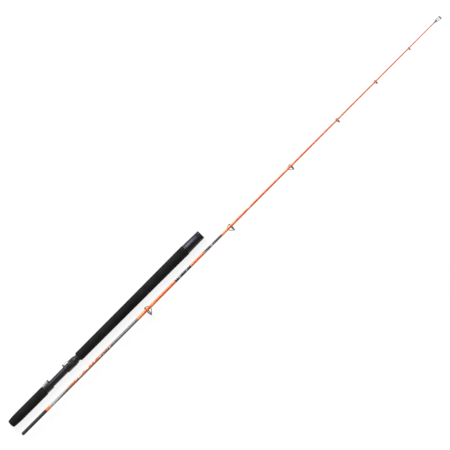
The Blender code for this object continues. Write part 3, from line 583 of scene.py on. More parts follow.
def meshObject(name, shape):
    mesh = bpy.data.meshes.new(name)
    shape.to_mesh(mesh)
    shape.free()
    thing = bpy.data.objects.new(name, mesh)
    bpy.context.scene.collection.objects.link(thing)
    return thing


def applied(thing):
    # the object with its modifiers made real
    graph = bpy.context.evaluated_depsgraph_get()
    mesh = bpy.data.meshes.new_from_object(thing.evaluated_get(graph))
    thing.modifiers.clear()
    thing.data = mesh
    return thing


def settled(thing):
    # puts the elements in a fixed order, because the solver's changes from run to run
    along = Vector((1.0, 0.7310586, 0.3819660))
    shape = bmesh.new()
    shape.from_mesh(thing.data)
    shape.verts.sort(key=lambda vert: vert.co.dot(along))
    shape.edges.sort(key=lambda edge: (edge.verts[0].co + edge.verts[1].co).dot(along))
    shape.faces.sort(key=lambda face: face.calc_center_median().dot(along))
    shape.to_mesh(thing.data)
    shape.free()


def combined(thing, tools, operation="DIFFERENCE", ownOverlaps=False):
    for tool in tools:
        modifier = thing.modifiers.new("shape", "BOOLEAN")
        modifier.operation = operation
        modifier.solver = "EXACT"
        modifier.object = tool
        modifier.use_self = ownOverlaps
    settled(applied(thing))
    for tool in tools:
        bpy.data.objects.remove(tool)


def softEdges(thing, width):
    bevel = thing.modifiers.new("edges", "BEVEL")
    bevel.width = width
    bevel.segments = 2
    bevel.limit_method = "ANGLE"
    bevel.angle_limit = math.radians(50.0)
    bevel.use_clamp_overlap = True
    applied(thing)


def finished(thing, look, body, *nodes, sharp=32.0):
    thing.data.shade_smooth()
    thing.data.set_sharp_from_angle(angle=math.radians(sharp))
    thing.data.materials.clear()
    thing.data.materials.append(materials[look])
    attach(thing, body)
    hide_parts(*nodes)
    return thing


# Handle

tubeOuter = halfWidth("butt_tube")
foam = {
    "steps": 96, "rowGap": 0.004, "unevenness": 0.00006, "lumps": 45.0, "skin": 0.001,
    "noseLength": 0.044, "noseFullness": 5.0, "nosePoints": 24, "lip": 0.0007,
    "foregripEdge": 0.0012, "foregripEnd": 0.003, "frontRadius": 0.01245, "swell": 1.3,
    "rearEdge": 0.0006, "frontEdge": 0.0028, "frontEnd": 0.01, "frontPoints": 6,
}


def roughen(shape, bore):
    # slight unevenness of a sanded foam grip
    for vert in shape.verts:
        radius, angle = polar(vert.co, handle)
        if radius > bore + slack:
            lump = noise.noise(vert.co * foam["lumps"]) * foam["unevenness"]
            setPolar(vert.co, handle, radius + lump, angle)


def makeGrip(name, node, outline, bore):
    shape = turn(outline, handle, foam["steps"])
    roughen(shape, bore)
    grip = finished(meshObject(name, shape), "foam", "handle", node)


def makeForegrip():
    low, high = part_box("foregrip")
    full = (high.x - low.x) / 2
    bore, socketBore = tubeOuter + slack, halfWidth("ferrule_socket") + slack
    lip = halfWidth("ferrule_socket") + foam["lip"]
    nose = low.y + foam["noseLength"]
    end = high.y - foam["foregripEnd"]
    corners = [(high.y, bore, 0), (high.y, full, foam["foregripEdge"]), (nose, full, 0)]
    outline = softened(corners)[:-1]
    straight = round((end - nose) / foam["rowGap"])
    outline += [Vector((end - step * foam["rowGap"], full)) for step in range(straight)]
    for step in range(foam["nosePoints"] + 1):
        share = 1 - math.sin(math.pi / 2 * step / foam["nosePoints"])
        rise = (1 - (1 - share) ** 2) ** (1 / foam["noseFullness"])
        outline.append(Vector((low.y + foam["noseLength"] * share, lip + (full - lip) * rise)))
    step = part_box("butt_tube")[0].y - slack
    outline += [Vector((low.y, socketBore)), Vector((step, socketBore)), Vector((step, bore))]
    makeGrip("foregripFoam", "foregrip", outline, tubeOuter + foam["skin"])


def makeRearGrip():
    low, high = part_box("rear_grip")
    bore, front, rear = tubeOuter + slack, foam["frontRadius"], (high.x - low.x) / 2
    rows = round((high.y - low.y) / foam["rowGap"])
    outline = softened([(high.y, bore, 0), (high.y, rear, foam["rearEdge"]), (low.y, rear, 0)])[:-1]
    for step in range(1, rows):
        share = 1 - step / rows
        radius = front + (rear - front) * share ** foam["swell"]
        outline.append(Vector((low.y + (high.y - low.y) * share, radius)))
    inside = low.y + foam["frontEnd"]
    corners = [(inside, front, 0), (low.y, front, foam["frontEdge"]), (low.y, bore, 0)]
    outline += softened(corners, foam["frontPoints"])[1:]
    makeGrip("rearGripFoam", "rear_grip", outline, bore)


socket = {"steps": 64, "wall": 0.0015, "outerEdge": 0.0004, "boreEdge": 0.0005}


def makeSocket():
    low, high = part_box("ferrule_socket")
    outer = (high.x - low.x) / 2
    bore = outer - socket["wall"]
    corners = [
        (high.y, outer, 0), (low.y, outer, socket["outerEdge"]),
        (low.y, bore, socket["boreEdge"]), (high.y, bore, 0),
    ]
    shape = turn(softened(corners), handle, socket["steps"])
    finished(meshObject("ferruleSocket", shape), "graphite", "handle", "ferrule_socket")


makeForegrip()
makeRearGrip()
makeSocket()
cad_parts["butt_tube"].data.materials.clear()
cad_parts["butt_tube"].data.materials.append(materials["graphite"])
print("grips and socket made")

seat = {
    "steps": 96, "deckDepth": 0.00068, "deckUnderHood": 0.0147, "deckGap": 0.0005,
    "threadPitch": 0.002, "threadDepth": 0.00030, "threadLength": 0.048, "threadRows": 8,
    "threadShape": 0.7,
}
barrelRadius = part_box("reel_seat_barrel")[1].x - handle.x


def makeBarrel():
    low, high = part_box("reel_seat_barrel")
    bore = tubeOuter + slack
    threadStart = high.y - seat["threadLength"]
    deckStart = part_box("fixed_hood")[1].y - seat["deckUnderHood"]
    deckEnd = threadStart - seat["deckGap"]
    rows = [low.y, deckStart, deckStart + hair]
    rows += [deckStart + (deckEnd - deckStart) * share for share in (0.25, 0.5, 0.75)]
    rows += [deckEnd - hair, deckEnd, threadStart]
    count = round(seat["threadLength"] / seat["threadPitch"] * seat["threadRows"])
    rows += rowsOf(threadStart, high.y, count)
    outline = [(y, barrelRadius) for y in reversed(rows)] + [(low.y, bore), (high.y, bore)]
    shape = turn(outline, handle, seat["steps"])
    flat = barrelRadius - seat["deckDepth"]
    for vert in shape.verts:
        far, angle = polar(vert.co, handle)
        onDeck = deckStart + hair / 2 < vert.co.y < deckEnd - hair / 2
        if far < barrelRadius - slack:
            continue
        if vert.co.y > threadStart + hair:
            turns = (vert.co.y - threadStart) / seat["threadPitch"] + angle / (2 * math.pi)
            groove = (0.5 - 0.5 * math.cos(2 * math.pi * turns)) ** seat["threadShape"]
            setPolar(vert.co, handle, far - seat["threadDepth"] * groove, angle)
        elif onDeck and math.cos(angle) * far > flat:
            vert.co.x = handle.x - flat
    finished(meshObject("seatBarrel", shape), "seat", "handle", "reel_seat_barrel")


makeBarrel()

hood = {
    "steps": 144, "lip": 0.0027, "halfWidth": 0.0081, "shoulder": 0.0035, "lipShoulder": 0.0045,
    "lipEase": 0.6, "tailRaise": 0.0001, "rampRows": 10, "coverStand": 0.0011,
    "coverThickness": 0.0008, "coverTail": 0.0015, "coverGap": 0.0003, "coverRows": 14,
    "coverSteps": 56, "coverEdge": 0.00018, "pocketDepth": 0.0150, "pocketHalf": 0.0066,
    "pocketRoof": 0.0009, "pocketCorner": 0.0015, "pocketRows": 6, "fillet": 0.0009,
    "rounding": 0.0005, "padMargin": 0.0020, "padWidth": 0.0084, "padRaise": 0.0007,
    "padFloor": 0.0102, "padProud": 0.0003, "padEdge": 0.0002, "padSides": 48, "skinSteps": 192,
    "skinEnd": 0.01,
}
easing = (0, 0.1, 0.3, 0.6, 1)  # rows across a rounding


def obround(name, middle, length, width, low, high):
    # an upright block with round ends, its length along the rod
    shape = bmesh.new()
    bmesh.ops.create_circle(shape, cap_ends=True, segments=hood["padSides"], radius=width / 2)
    for vert in shape.verts:
        vert.co.y += math.copysign(length / 2 - width / 2, vert.co.y)
    bmesh.ops.translate(shape, verts=shape.verts, vec=(middle.x, middle.y, low))
    return extruded(name, shape, (0, 0, high - low))


def hoodFacts(node, towards):
    # mouth, length, the ring's radius, the ramp's height at the mouth, and how it falls
    low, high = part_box(node)
    length = high.y - low.y
    ring = high.x - handle.x
    ramp = handle.x - low.x - hood["coverStand"]
    slope = (ramp - ring - hood["tailRaise"]) / length
    return high.y if towards > 0 else low.y, length, ring, ramp, slope


def makeHood(node, body, towards):
    # towards is 1 where the hood's mouth faces the gimbal, and -1 where it faces the socket
    mouth, length, ring, ramp, slope = hoodFacts(node, towards)
    bore = barrelRadius + slack
    lip, rounding, depth = hood["lip"], hood["rounding"], hood["pocketDepth"]
    lipRounding = rounding * hood["lipEase"]
    outerRows = [rounding * share for share in easing]
    outerRows += [lip - lipRounding, lip - rounding * 0.2, lip, lip + hair]
    outerRows += rowsOf(lip, length - rounding, hood["rampRows"])
    outerRows += [length - rounding * share for share in reversed(easing[:-1])]
    innerRows = [length, depth + hair, depth] + rowsOf(depth, 0, hood["pocketRows"])
    outline = [(mouth - towards * row, ring) for row in outerRows]
    outline += [(mouth - towards * row, bore) for row in innerRows]
    shape = turn(outline, handle, hood["steps"])
    for vert in shape.verts:
        far, angle = polar(vert.co, handle)
        back = (mouth - vert.co.y) * towards
        if far > (ring + bore) / 2:
            if back <= lip + hair / 2:
                half = hood["halfWidth"] + hood["coverStand"]
                block = blockReach(angle, ramp + hood["coverStand"], half, hood["lipShoulder"])
                drop = roundedDrop(back, rounding) + roundedDrop(lip - back, lipRounding)
            else:
                block = blockReach(angle, ramp - slope * back, hood["halfWidth"], hood["shoulder"])
                drop = roundedDrop(length - back, rounding)
            far = softMax(ring, block, hood["fillet"]) - drop
        elif back <= depth + hair / 2:
            roof = ramp - hood["pocketRoof"] - slope * back
            far = max(bore, blockReach(angle, roof, hood["pocketHalf"], hood["pocketCorner"]))
        setPolar(vert.co, handle, far, angle)
    bmesh.ops.recalc_face_normals(shape, faces=shape.faces)
    shell = meshObject(f"{node}Shell", shape)
    recesses = [makePad(node, body, towards, side) for side in (1, -1)]
    combined(shell, recesses)
    finished(shell, "seat", body, node, sharp=40.0)
    makeCover(node, body, towards)


def makePad(node, body, towards, side):
    # the pad in one side of the hood; gives back the tool that cuts its recess
    low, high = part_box(node)
    mouth, length, ring, ramp, slope = hoodFacts(node, towards)
    word = "upper" if side > 0 else "lower"
    padLength = length - hood["lip"] - 2 * hood["padMargin"]
    padMiddle = mouth - towards * (hood["lip"] + hood["padMargin"] + padLength / 2)
    centre = Vector((handle.x - hood["padRaise"], padMiddle, 0))
    heights = sorted((handle.z + side * hood["padFloor"], handle.z + side * 2 * ring))
    width, grow = hood["padWidth"], 2 * slack
    recess = obround("recess", centre, padLength + grow, width + grow, *heights)
    pad = obround(f"{node}Pad{word.capitalize()}", centre, padLength, width, *heights)
    outside, past = ring + hood["padProud"], hood["skinEnd"]
    start, end = low.y - past, high.y + past
    outline = [(start, 0), (start, outside), (end, outside), (end, 0)]
    skin = meshObject("padSkin", turn(outline, handle, hood["skinSteps"], solid=True))
    combined(pad, [skin], "INTERSECT")
    softEdges(pad, hood["padEdge"])
    finished(pad, "pad", body, f"{node}_pad_{word}")
    return recess


def makeCover(node, body, towards):
    # a thin bright shell over the ramp, made as an open skin that gets its thickness inwards
    mouth, length, ring, ramp, slope = hoodFacts(node, towards)
    half = hood["halfWidth"] + hood["coverStand"]
    clear = ring + hood["coverGap"]
    edge = math.asin(half / clear)
    start = hood["lip"] + slack
    shape = bmesh.new()
    rows = [start] + rowsOf(start, length - hood["coverTail"], hood["coverRows"])
    line = [shape.verts.new((handle.x - clear, mouth - towards * row, handle.z)) for row in rows]
    edges = [shape.edges.new(pair) for pair in zip(line, line[1:])]
    cent = (handle.x, 0, handle.z)
    bmesh.ops.rotate(shape, verts=line, cent=cent, matrix=Matrix.Rotation(-edge, 3, "Y"))
    bmesh.ops.spin(
        shape, geom=line + edges, cent=cent, axis=(0, 1, 0), angle=2 * edge,
        steps=hood["coverSteps"],
    )
    for vert in shape.verts:
        far, angle = polar(vert.co, handle)
        rise = ramp + hood["coverStand"] - slope * (mouth - vert.co.y) * towards
        setPolar(vert.co, handle, blockReach(angle, rise, half, hood["lipShoulder"]), angle)
    bmesh.ops.recalc_face_normals(shape, faces=shape.faces)
    crown = min(shape.faces, key=lambda face: face.calc_center_median().x)
    if crown.normal.x > 0:
        bmesh.ops.reverse_faces(shape, faces=shape.faces)
    bmesh.ops.solidify(shape, geom=shape.faces[:], thickness=hood["coverThickness"])
    cover = meshObject(f"{node}Cover", shape)
    softEdges(cover, hood["coverEdge"])
    finished(cover, "hoodCover", body, f"{node}_cover", sharp=40.0)


makeHood("fixed_hood", "handle", 1)
makeHood("sliding_hood", "sliding_hood", -1)
print("reel seat made")

nut = {
    "steps": 288, "flutes": 36, "fluteDepth": 0.00035, "tail": 0.0062, "tailRadius": 0.0104,
    "shoulder": 0.0026, "shoulderDrop": 0.0005, "neck": 0.0006, "neckDrop": 0.0004,
    "rowGap": 0.0012, "bandStart": 0.0012, "bandEnd": 0.0014, "bandEase": 0.0006,
    "bandRise": 0.0008, "skin": 0.0003, "edges": (0.0002, 0.0007, 0.0006, 0.0003),
}


def makeLockNut():
    low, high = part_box("lock_nut")
    full = high.x - handle.x
    bore = barrelRadius + slack / 2
    tailStart = high.y - nut["tail"]
    boreEdge, tailEdge, outerEdge, neckEdge = nut["edges"]
    corners = [
        (high.y, bore, boreEdge), (high.y, nut["tailRadius"], tailEdge),
        (high.y - nut["shoulder"], full - nut["shoulderDrop"], outerEdge),
        (tailStart, full - nut["neckDrop"], neckEdge), (tailStart - nut["neck"], full, neckEdge),
        (low.y, full, outerEdge), (low.y, bore, boreEdge),
    ]
    shape = turn(spaced(softened(corners), nut["rowGap"]), handle, nut["steps"])
    for vert in shape.verts:
        far, angle = polar(vert.co, handle)
        inBand = min(vert.co.y - low.y - nut["bandStart"], tailStart - nut["bandEnd"] - vert.co.y)
        if far > full - nut["skin"] and inBand > -nut["bandEase"]:
            ease = min(1.0, (inBand + nut["bandEase"]) / nut["bandRise"])
            groove = max(0.0, math.cos(nut["flutes"] * angle)) ** 2
            setPolar(vert.co, handle, far - nut["fluteDepth"] * groove * ease, angle)
    finished(meshObject("lockNut", shape), "nut", "lock_nut", "lock_nut", sharp=45.0)


makeLockNut()

gimbal = {
    "steps": 96, "frontRadius": 0.0132, "rearRadius": 0.0120, "pinSlot": 0.0070,
    "slotDepth": 0.0125, "crossLies": 60.0, "boreDepth": 0.0131, "boreRadius": 0.0088,
    "grooveAt": 0.0040,
    "grooveHalf": 0.0004, "grooveDepth": 0.00035, "grooveDrop": 0.0001, "slotEdge": 0.0003,
}


def makeCross(start, end):
    # the slots for a rod holder's pin, as one cross
    half, far = gimbal["pinSlot"] / 2, 2 * gimbal["frontRadius"]
    shape = bmesh.new()
    verts = []
    for arm in range(4):
        lie = Matrix.Rotation(math.radians(gimbal["crossLies"] + 90 * arm), 3, "Y")
        for x, z in ((far, half), (far, -half), (half, -half)):
            place = lie @ Vector((x, 0, z)) + Vector((handle.x, start, handle.z))
            verts.append(shape.verts.new(place))
    edges = [shape.edges.new(pair) for pair in zip(verts, verts[1:] + verts[:1])]
    bmesh.ops.contextual_create(shape, geom=edges)
    return extruded("pinSlots", shape, (0, end - start, 0))


def makeGimbal():
    low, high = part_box("gimbal")
    front, rear, bore = gimbal["frontRadius"], gimbal["rearRadius"], gimbal["boreRadius"]
    floor, seatEnd = high.y - gimbal["boreDepth"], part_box("butt_tube")[1].y + slack
    groove, half = low.y + gimbal["grooveAt"], gimbal["grooveHalf"]
    corners = [
        (floor, 0, 0), (floor, bore, 0.0003), (high.y, bore, 0.0004), (high.y, rear, 0.0008),
        (groove + 2 * half, front - gimbal["grooveDrop"], 0.0002),
        (groove + half, front - gimbal["grooveDepth"], 0.0001),
        (groove, front, 0.0002), (low.y, front, 0.0006), (low.y, tubeOuter + slack, 0.0002),
        (seatEnd, tubeOuter + slack, 0), (seatEnd, 0, 0),
    ]
    shape = turn(softened(corners), handle, gimbal["steps"], solid=True)
    shell = meshObject("gimbalCap", shape)
    slotFloor = high.y - gimbal["slotDepth"]
    combined(shell, [makeCross(slotFloor, high.y + gimbal["slotDepth"])])
    softEdges(shell, gimbal["slotEdge"])
    finished(shell, "gimbal", "handle", "gimbal", sharp=40.0)


makeGimbal()
print("handle made")


# Tip section

def taperOf(node):
    # the outline's ends and its knee, the point furthest above the line between the ends
    verts = [vert.co for vert in node.data.vertices]
    points = [(place.y, math.hypot(place.x - tip.x, place.z - tip.z)) for place in verts]
    low, high = min(points)[0], max(points)[0]
    start = max(point for point in points if point[0] < low + slack)
    end = max(point for point in points if point[0] > high - slack)
    slope = (end[1] - start[1]) / (end[0] - start[0])
    knee = max(points, key=lambda point: point[1] - slope * (point[0] - start[0]))
    return start, knee, end


taper = taperOf(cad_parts["blank"])


def blankRadius(y):
    (start, first), (end, second) = taper[:2] if y < taper[1][0] else taper[1:]
    return first + (second - first) * (y - start) / (end - start)


blank = {"steps": 40, "rowGap": 0.012, "wall": 0.0012, "solidTip": 0.3865}
spigot = {
    "steps": 64, "leadStart": 0.004, "leadEnd": 0.0014, "leadDrop": 0.0003, "noseDrop": 0.0013,
}


def makeBlank():
    low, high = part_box("blank")
    rows = [high.y] + rowsOf(high.y, low.y, round((high.y - low.y) / blank["rowGap"]))
    outline = [(high.y, 0)] + [(y, blankRadius(y)) for y in rows]
    boreEnd = high.y - blank["solidTip"]
    outline += [(y, blankRadius(y) - blank["wall"]) for y in (low.y, boreEnd)] + [(boreEnd, 0)]
    shape = turn(outline, tip, blank["steps"], solid=True)
    finished(meshObject("paintedBlank", shape), "blank", "tip_section", "blank")


def makeSpigot():
    low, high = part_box("spigot")
    full = (high.x - low.x) / 2
    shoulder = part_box("blank")[0].y - slack
    tenon = blankRadius(shoulder) - blank["wall"] - slack
    corners = [
        (high.y, 0, 0), (high.y, tenon, 0.0004), (shoulder, tenon, 0.0001),
        (shoulder, full, 0.0003), (low.y + spigot["leadStart"], full, 0.001),
        (low.y + spigot["leadEnd"], full - spigot["leadDrop"], 0.0004),
        (low.y, full - spigot["noseDrop"], 0.0006), (low.y, 0, 0),
    ]
    shape = turn(softened(corners), tip, spigot["steps"], solid=True)
    finished(meshObject("ferruleSpigot", shape), "spigot", "tip_section", "spigot")


makeBlank()
makeSpigot()

wrap = {
    "steps": 64, "rowGap": 0.0006, "build": 0.00028, "edge": 0.0010, "lift": 0.00004,
    "thinEdge": 0.00006, "over": 0.00022, "fillet": 0.0011, "shoulder": 0.6,
}
# metres, but sizes of the leg, strut, welds and foot are shares of what they belong to
guide = {
    "reversed": 1, "wireBase": 0.0004, "wireShare": 0.05, "gap": 0.0003,
    "lean": math.radians(8.0), "alongWire": 1.15, "hoopSteps": 96, "hoopSections": 16,
    "sides": 14, "legWire": 0.9, "legStops": 14, "strutStops": 8, "strutElbow": 0.55,
    "strutSag": -0.1, "legIn": 0.55, "legBack": 0.4, "elbow": (0.8, -0.62, -0.42), "weld": 1.25,
    "ringThicknessBase": 0.0003, "ringThicknessShare": 0.038, "ringWidth": 1.6,
    "footShare": 0.3, "smallestFoot": 0.0006, "footThickness": 0.0008, "footSides": 16,
    "footStops": 10, "footEnd": (0.55, 0.6), "bare": 0.0012,
}


def footHeight(share):
    # a foot is ground thin towards its far end
    return guide["footThickness"] * (1.0 - 0.62 * share**1.5)


def footHalf(y, share):
    widest = max(guide["smallestFoot"], guide["footShare"] * blankRadius(y))
    return widest * (1.0 - 0.45 * share**2)


def makeWrap(node, name, foot=None):
    # foot is (angle of the foot, y where it is thick, y of its thin end)
    low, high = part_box(node)
    rows = [high.y] + rowsOf(high.y, low.y, round((high.y - low.y) / wrap["rowGap"]))
    outline = [(y, blankRadius(y) + wrap["build"]) for y in rows]
    outline += [(y, blankRadius(y) + wrap["lift"]) for y in (low.y, high.y)]
    shape = turn(outline, tip, wrap["steps"])
    for vert in shape.verts:
        far, angle = polar(vert.co, tip)
        bare = blankRadius(vert.co.y)
        if far < bare + wrap["build"] / 2:
            continue
        build = wrap["build"]
        if foot:
            lieAngle, thick, thin = foot
            share = min(1.0, max(0.0, (vert.co.y - thick) / (thin - thick)))
            top = bare + footHeight(share) + wrap["over"] + wrap["lift"]
            if (vert.co.y - thin) * (thin - thick) > 0:
                top = 0.0
            half = footHalf(vert.co.y, share) + wrap["over"]
            corner = min(half, top) * wrap["shoulder"]
            block = blockReach(angle - lieAngle, top, half, corner) if top else 0.0
            build = softMax(bare + build, block, wrap["fillet"]) - bare
        ends = min(vert.co.y - low.y, high.y - vert.co.y)
        ease = math.sqrt(1 - (1 - min(1.0, ends / wrap["edge"])) ** 2)
        edge = wrap["thinEdge"]
        setPolar(vert.co, tip, bare + edge + (build - edge) * ease, angle)
    finished(meshObject(name, shape), "thread", "tip_section", node)


def edgesOf(shape, ring):
    return [edge for edge in shape.edges if edge.verts[0] in ring and edge.verts[1] in ring]


def sweep(shape, stops, sides):
    # a closed bar through stops of (point, half width, half height)
    points = [stop[0] for stop in stops]
    frames = []
    for index, (point, wide, high) in enumerate(stops):
        ahead = points[min(index + 1, len(points) - 1)] - points[max(index - 1, 0)]
        ahead.normalize()
        across = (sideways - ahead * sideways.dot(ahead)).normalized()
        up = ahead.cross(across)
        turned = Matrix((across * wide, up * high, ahead * min(wide, high))).transposed()
        frames.append(Matrix.Translation(point) @ turned.to_4x4())
    ring = bmesh.ops.create_circle(
        shape, cap_ends=False, segments=sides, radius=1.0, matrix=frames[0]
    )["verts"]
    edges = edgesOf(shape, ring)
    bmesh.ops.contextual_create(shape, geom=edges)
    for before, after in zip(frames, frames[1:]):
        made = bmesh.ops.extrude_edge_only(shape, edges=edges)["geom"]
        edges = [item for item in made if isinstance(item, bmesh.types.BMEdge)]
        verts = [item for item in made if isinstance(item, bmesh.types.BMVert)]
        bmesh.ops.transform(shape, verts=verts, matrix=after @ before.inverted())
    bmesh.ops.contextual_create(shape, geom=edges)


def curved(start, elbow, end, radius, count):
    stops = []
    for step in range(count + 1):
        share = step / count
        bend = elbow * (2 * share * (1 - share))
        stops.append((start * (1 - share) ** 2 + bend + end * share**2, radius, radius))
    return stops


def bead(shape, place, size, stretch):
    # a small weld
    matrix = Matrix.Translation(place) @ Matrix.Diagonal((*stretch, 1.0))
    bmesh.ops.create_uvsphere(shape, u_segments=16, v_segments=10, radius=size, matrix=matrix)


def placedMesh(name, shape, place):
    bmesh.ops.transform(shape, verts=shape.verts, matrix=place)
    bmesh.ops.recalc_face_normals(shape, faces=shape.faces)
    return meshObject(name, shape)


def makeHoop(name, place, height, reach, outHalf, alongHalf):
    # a leaning hoop, spun from an oval section at its top
    shape = bmesh.new()
    centre = Vector((0, 0, -height))
    outward = Vector((0, math.sin(guide["lean"]), math.cos(guide["lean"])))
    axis = Vector((0, math.cos(guide["lean"]), -math.sin(guide["lean"])))
    sides = (axis * alongHalf, outward * outHalf, axis.cross(outward) * outHalf)
    placed = Matrix.Translation(centre + outward * reach) @ Matrix(sides).transposed().to_4x4()
    ring = bmesh.ops.create_circle(
        shape, cap_ends=False, segments=guide["hoopSections"], radius=1.0, matrix=placed
    )["verts"]
    bmesh.ops.spin(
        shape, geom=list(ring) + edgesOf(shape, ring), cent=centre, axis=axis,
        angle=2 * math.pi, steps=guide["hoopSteps"], use_merge=True,
    )
    return placedMesh(name, shape, place)


def ringFacts(node):
    # place and height of the guide, and its hoop's radius and wire, all from the ring's box
    low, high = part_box(node)
    centre = (low + high) / 2
    hang = Vector((centre.x - tip.x, 0, centre.z - tip.z))
    roll = math.atan2(hang.x, -hang.z)
    outer = (high.x - low.x) / 2
    radius = (outer + guide["gap"] + 2 * guide["wireBase"]) / (1 - 2 * guide["wireShare"])
    place = Matrix.Translation((tip.x, centre.y, tip.z)) @ Matrix.Rotation(-roll, 4, "Y")
    return centre, roll, place, hang.length, radius, guide["wireBase"] + guide["wireShare"] * radius


def makeRing(node, name, place, height, radius, wire):
    thick = guide["ringThicknessBase"] + guide["ringThicknessShare"] * radius
    outer = radius - 2 * wire - 0.00003
    inner = radius - 2 * wire - guide["gap"] - 2 * thick
    half = (outer - inner) / 2
    ring = makeHoop(name, place, height, inner + half, half, guide["ringWidth"] * thick)
    finished(ring, "ring", "tip_section", node)


def addLegs(shape, start, elbow, end, radius, weld, stretch):
    for side in (-1, 1):
        places = [Vector((side * x, y, z)) for x, y, z in (start, elbow, end)]
        sweep(shape, curved(*places, radius, guide["legStops"]), guide["sides"])
        bead(shape, places[2], weld, stretch)


def addStrut(shape, reach, height, base, elbowAt, sag, radius, count, weld):
    lean = guide["lean"]
    top = Vector((0, reach * math.sin(lean), -height + reach * math.cos(lean)))
    elbow = top.lerp(base, elbowAt) + Vector((0, 0, sag * (base - top).length))
    sweep(shape, curved(top, elbow, base, radius, count), guide["sides"])
    bead(shape, top, weld, (1.3, 1.1, 1.0))


def makeGuide(number):
    node = f"guide_{number}"
    centre, roll, place, height, radius, wire = ringFacts(f"{node}_ring")
    reach, bare = radius - wire, guide["bare"]
    # the leg stands on the rear foot, and on the front one where the guide is turned round
    feet = []
    for end, word in ((0, "rear"), (1, "front")):
        low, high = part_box(f"{node}_wrap_{word}")
        feet.append((abs((low, high)[1 - end].y - centre.y), high.y - low.y))
    direction = 1.0
    if number == guide["reversed"]:
        feet.reverse()
        direction = -1.0
        place = place @ Matrix.Rotation(math.pi, 4, "Z")
    (legSide, legLength), (strutSide, strutLength) = feet
    hoopPiece = makeHoop(
        f"guide{number}Frame", place, height, reach, wire, guide["alongWire"] * wire
    )

    def level(local):
        return blankRadius(centre.y + direction * local) + wrap["lift"]

    def footStops(near, far):
        stops = []
        for step in range(guide["footStops"] + 1):
            share = step / guide["footStops"]
            local = near + (far - near) * share
            tall = footHeight(share) / 2
            wide = footHalf(centre.y + direction * local, share)
            if share == 1:
                wide, tall = wide * guide["footEnd"][0], tall * guide["footEnd"][1]
            stops.append((Vector((0, local, -(level(local) + tall))), wide, tall))
        return stops

    shape = bmesh.new()
    legFar = -(legSide + legLength - bare)
    sweep(shape, footStops(-(legSide - bare - wire), legFar), guide["footSides"])
    half = footHalf(centre.y - direction * legSide, 0)
    legTop = -(level(-legSide) + wire)
    start = (half * guide["legIn"], -(legSide - bare * guide["legBack"]), legTop + wire * 0.3)
    x, y, z = guide["elbow"]
    elbow, end = (x * reach, y * legSide, z * height), (reach, 0, -height)
    limb, weld = guide["legWire"] * wire, guide["weld"] * wire
    addLegs(shape, start, elbow, end, limb, weld, (1.0, 1.15, 1.3))
    joint = Vector((0, -(legSide - bare * 0.9), legTop + wire * 0.2))
    bead(shape, joint, half * 0.9, (1.0, 1.1, 0.55))
    near = strutSide - bare - wire
    sweep(shape, footStops(near, strutSide + strutLength - bare), guide["footSides"])
    base = Vector((0, near + wire * 1.4, -(level(near) + guide["footThickness"] * 0.55)))
    elbowAt, sag, count = guide["strutElbow"], guide["strutSag"], guide["strutStops"]
    addStrut(shape, reach, height, base, elbowAt, sag, limb, count, weld)
    combined(hoopPiece, [placedMesh("limbs", shape, place)], "UNION", ownOverlaps=True)
    finished(hoopPiece, "wire", "tip_section", f"{node}_frame", sharp=50.0)
    makeRing(f"{node}_ring", f"guide{number}Ring", place, height, radius, wire)

    lie = math.atan2(-math.cos(roll), -math.sin(roll))  # the guide's direction, as polar() has it
    ends = [
        (lie, centre.y + direction * thick, centre.y + direction * thin)
        for thick, thin in ((-legSide, legFar), (strutSide, strutSide + strutLength - bare))
    ]
    if direction < 0:
        ends.reverse()
    for word, foot in zip(("Rear", "Front"), ends):
        makeWrap(f"{node}_wrap_{word.lower()}", f"guide{number}Wrap{word}", foot)


makeWrap("ferrule_wrap", "ferruleWrap")
for number in range(1, 7):
    makeGuide(number)
print("guides made")

# metres, but legWire and weld are shares of the wire, and noseShare of the tube's radius
tipTop = {
    "steps": 48, "tubeWall": 0.0005, "endWall": 0.0012, "boreGap": 0.0001, "nose": 0.0008,
    "noseShare": 0.8, "legWire": 0.8, "legBase": 0.0022, "legReach": 0.004, "weld": 1.2,
    "strutStops": 6, "boreEnd": 0.01,
}


def makeTipTop():
    centre, roll, place, height, radius, wire = ringFacts("tip_top_ring")
    reach, start = radius - wire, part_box("tip_top_frame")[0].y
    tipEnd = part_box("blank")[1].y
    floor = tipEnd + guide["gap"]
    end = floor + tipTop["endWall"]
    bore = blankRadius(start) + tipTop["boreGap"]
    outer = bore + tipTop["tubeWall"]
    corners = [
        (end, 0, 0), (end, outer * tipTop["noseShare"], 0.0004),
        (end - tipTop["nose"], outer, 0.0004), (start, outer, 0.00025), (start, bore, 0.0001),
        (floor, bore, 0), (floor, 0, 0),
    ]
    tube = turn(softened(corners), tip, tipTop["steps"], solid=True)
    tube = meshObject("tipTopFrame", tube)
    foot = end - centre.y - tipTop["legBase"]
    shape = bmesh.new()
    first = (outer * 0.9, foot - tipTop["legReach"], -outer * 0.45)
    elbow = (0.9 * reach, foot + tipTop["legReach"], -0.3 * height)
    limb, weld = tipTop["legWire"] * wire, tipTop["weld"] * wire
    addLegs(shape, first, elbow, (reach, 0, -height), limb, weld, (1.0, 1.1, 1.3))
    base = Vector((0, foot, -outer * 0.8))
    addStrut(shape, reach, height, base, 0.5, 0, limb, tipTop["strutStops"], weld)
    limbs = placedMesh("tipLimbs", shape, place)
    loop = makeHoop("tipHoop", place, height, reach, wire, guide["alongWire"] * wire)
    combined(loop, [limbs], "UNION", ownOverlaps=True)
    past = start - tipTop["boreEnd"]
    outline = [(past, 0), (past, bore), (tipEnd, bore), (tipEnd, 0)]
    drill = meshObject("tipBore", turn(outline, tip, tipTop["steps"], solid=True))
    combined(loop, [drill])
    combined(tube, [loop], "UNION")
    finished(tube, "wire", "tip_section", "tip_top_frame", sharp=50.0)
    makeRing("tip_top_ring", "tipTopRing", place, height, radius, wire)


makeTipTop()
print("tip section made")

# Floor, light and camera

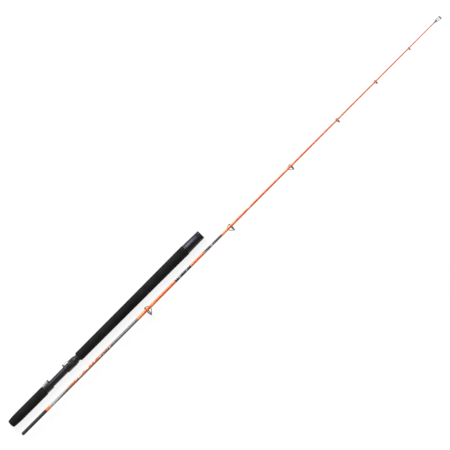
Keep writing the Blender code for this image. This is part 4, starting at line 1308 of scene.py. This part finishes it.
studio = {
    "floor": 30.0, "floorColour": (0.22, 0.22, 0.22), "floorFleck": 0.99, "floorGlow": 0.85,
    "floorNoise": (2.0, 3.0), "horizon": (0.95, 0.95, 0.95), "horizonBand": 0.20,
    "sky": (0.30, 0.30, 0.30), "keyPlace": (-3.0, 0.1, 2.4), "keySize": (1.6, 3.6),
    "keyEnergy": 165.0, "view": 1.1385, "lookAt": (0.0055, -0.0078), "lens": 200.0,
    "sensor": 36.0, "roll": 45.0, "farthest": 100.0,
}


def makeFloor():
    shape = bmesh.new()
    bmesh.ops.create_grid(shape, x_segments=2, y_segments=2, size=studio["floor"])
    floor = meshObject("floor", shape)
    material, tree, sockets = newMaterial(
        "paleFloor", Roughness=0.9, Specular_IOR_Level=0.1, Emission_Strength=studio["floorGlow"]
    )
    sockets["Emission Color"].default_value = (1.0, 1.0, 1.0, 1.0)
    tone = noiseAt(tree, objectPlace(tree), *studio["floorNoise"])
    pale = studio["floorColour"]
    fleck = tuple(studio["floorFleck"] * value for value in pale)
    feed(tree, sockets["Base Color"], mixed(tree, tone, pale, fleck))
    floor.data.materials.append(material)


def makeStudio():
    scene = bpy.context.scene
    scene.world = bpy.data.worlds.new("studio")
    scene.world.use_nodes = True
    tree = scene.world.node_tree
    sky = separated(tree, addNode(tree, "ShaderNodeTexCoord").outputs["Generated"])
    height = ramped(tree, sky["Z"], 0.0, studio["horizonBand"])
    colour = mixed(tree, height, studio["horizon"], studio["sky"])
    feed(tree, tree.nodes["Background"].inputs["Color"], colour)
    light = bpy.data.lights.new("keyLight", "AREA")
    light.shape = "RECTANGLE"
    light.size, light.size_y = studio["keySize"]
    light.energy = studio["keyEnergy"]
    key = bpy.data.objects.new("keyLight", light)
    key.location = studio["keyPlace"]
    key.rotation_euler = (-key.location).to_track_quat("-Z", "Y").to_euler()
    scene.collection.objects.link(key)
    scene.view_settings.view_transform = "Standard"


def makeCamera():
    data = bpy.data.cameras.new("camera")
    data.lens, data.sensor_width = studio["lens"], studio["sensor"]
    data.clip_end = studio["farthest"]
    camera = bpy.data.objects.new("camera", data)
    x, y = studio["lookAt"]
    camera.location = (x, y, tip.z + studio["view"] / studio["sensor"] * studio["lens"])
    camera.rotation_euler = (0, 0, math.radians(studio["roll"]))
    bpy.context.scene.collection.objects.link(camera)
    bpy.context.scene.camera = camera


makeFloor()
makeStudio()
makeCamera()
print("studio made")
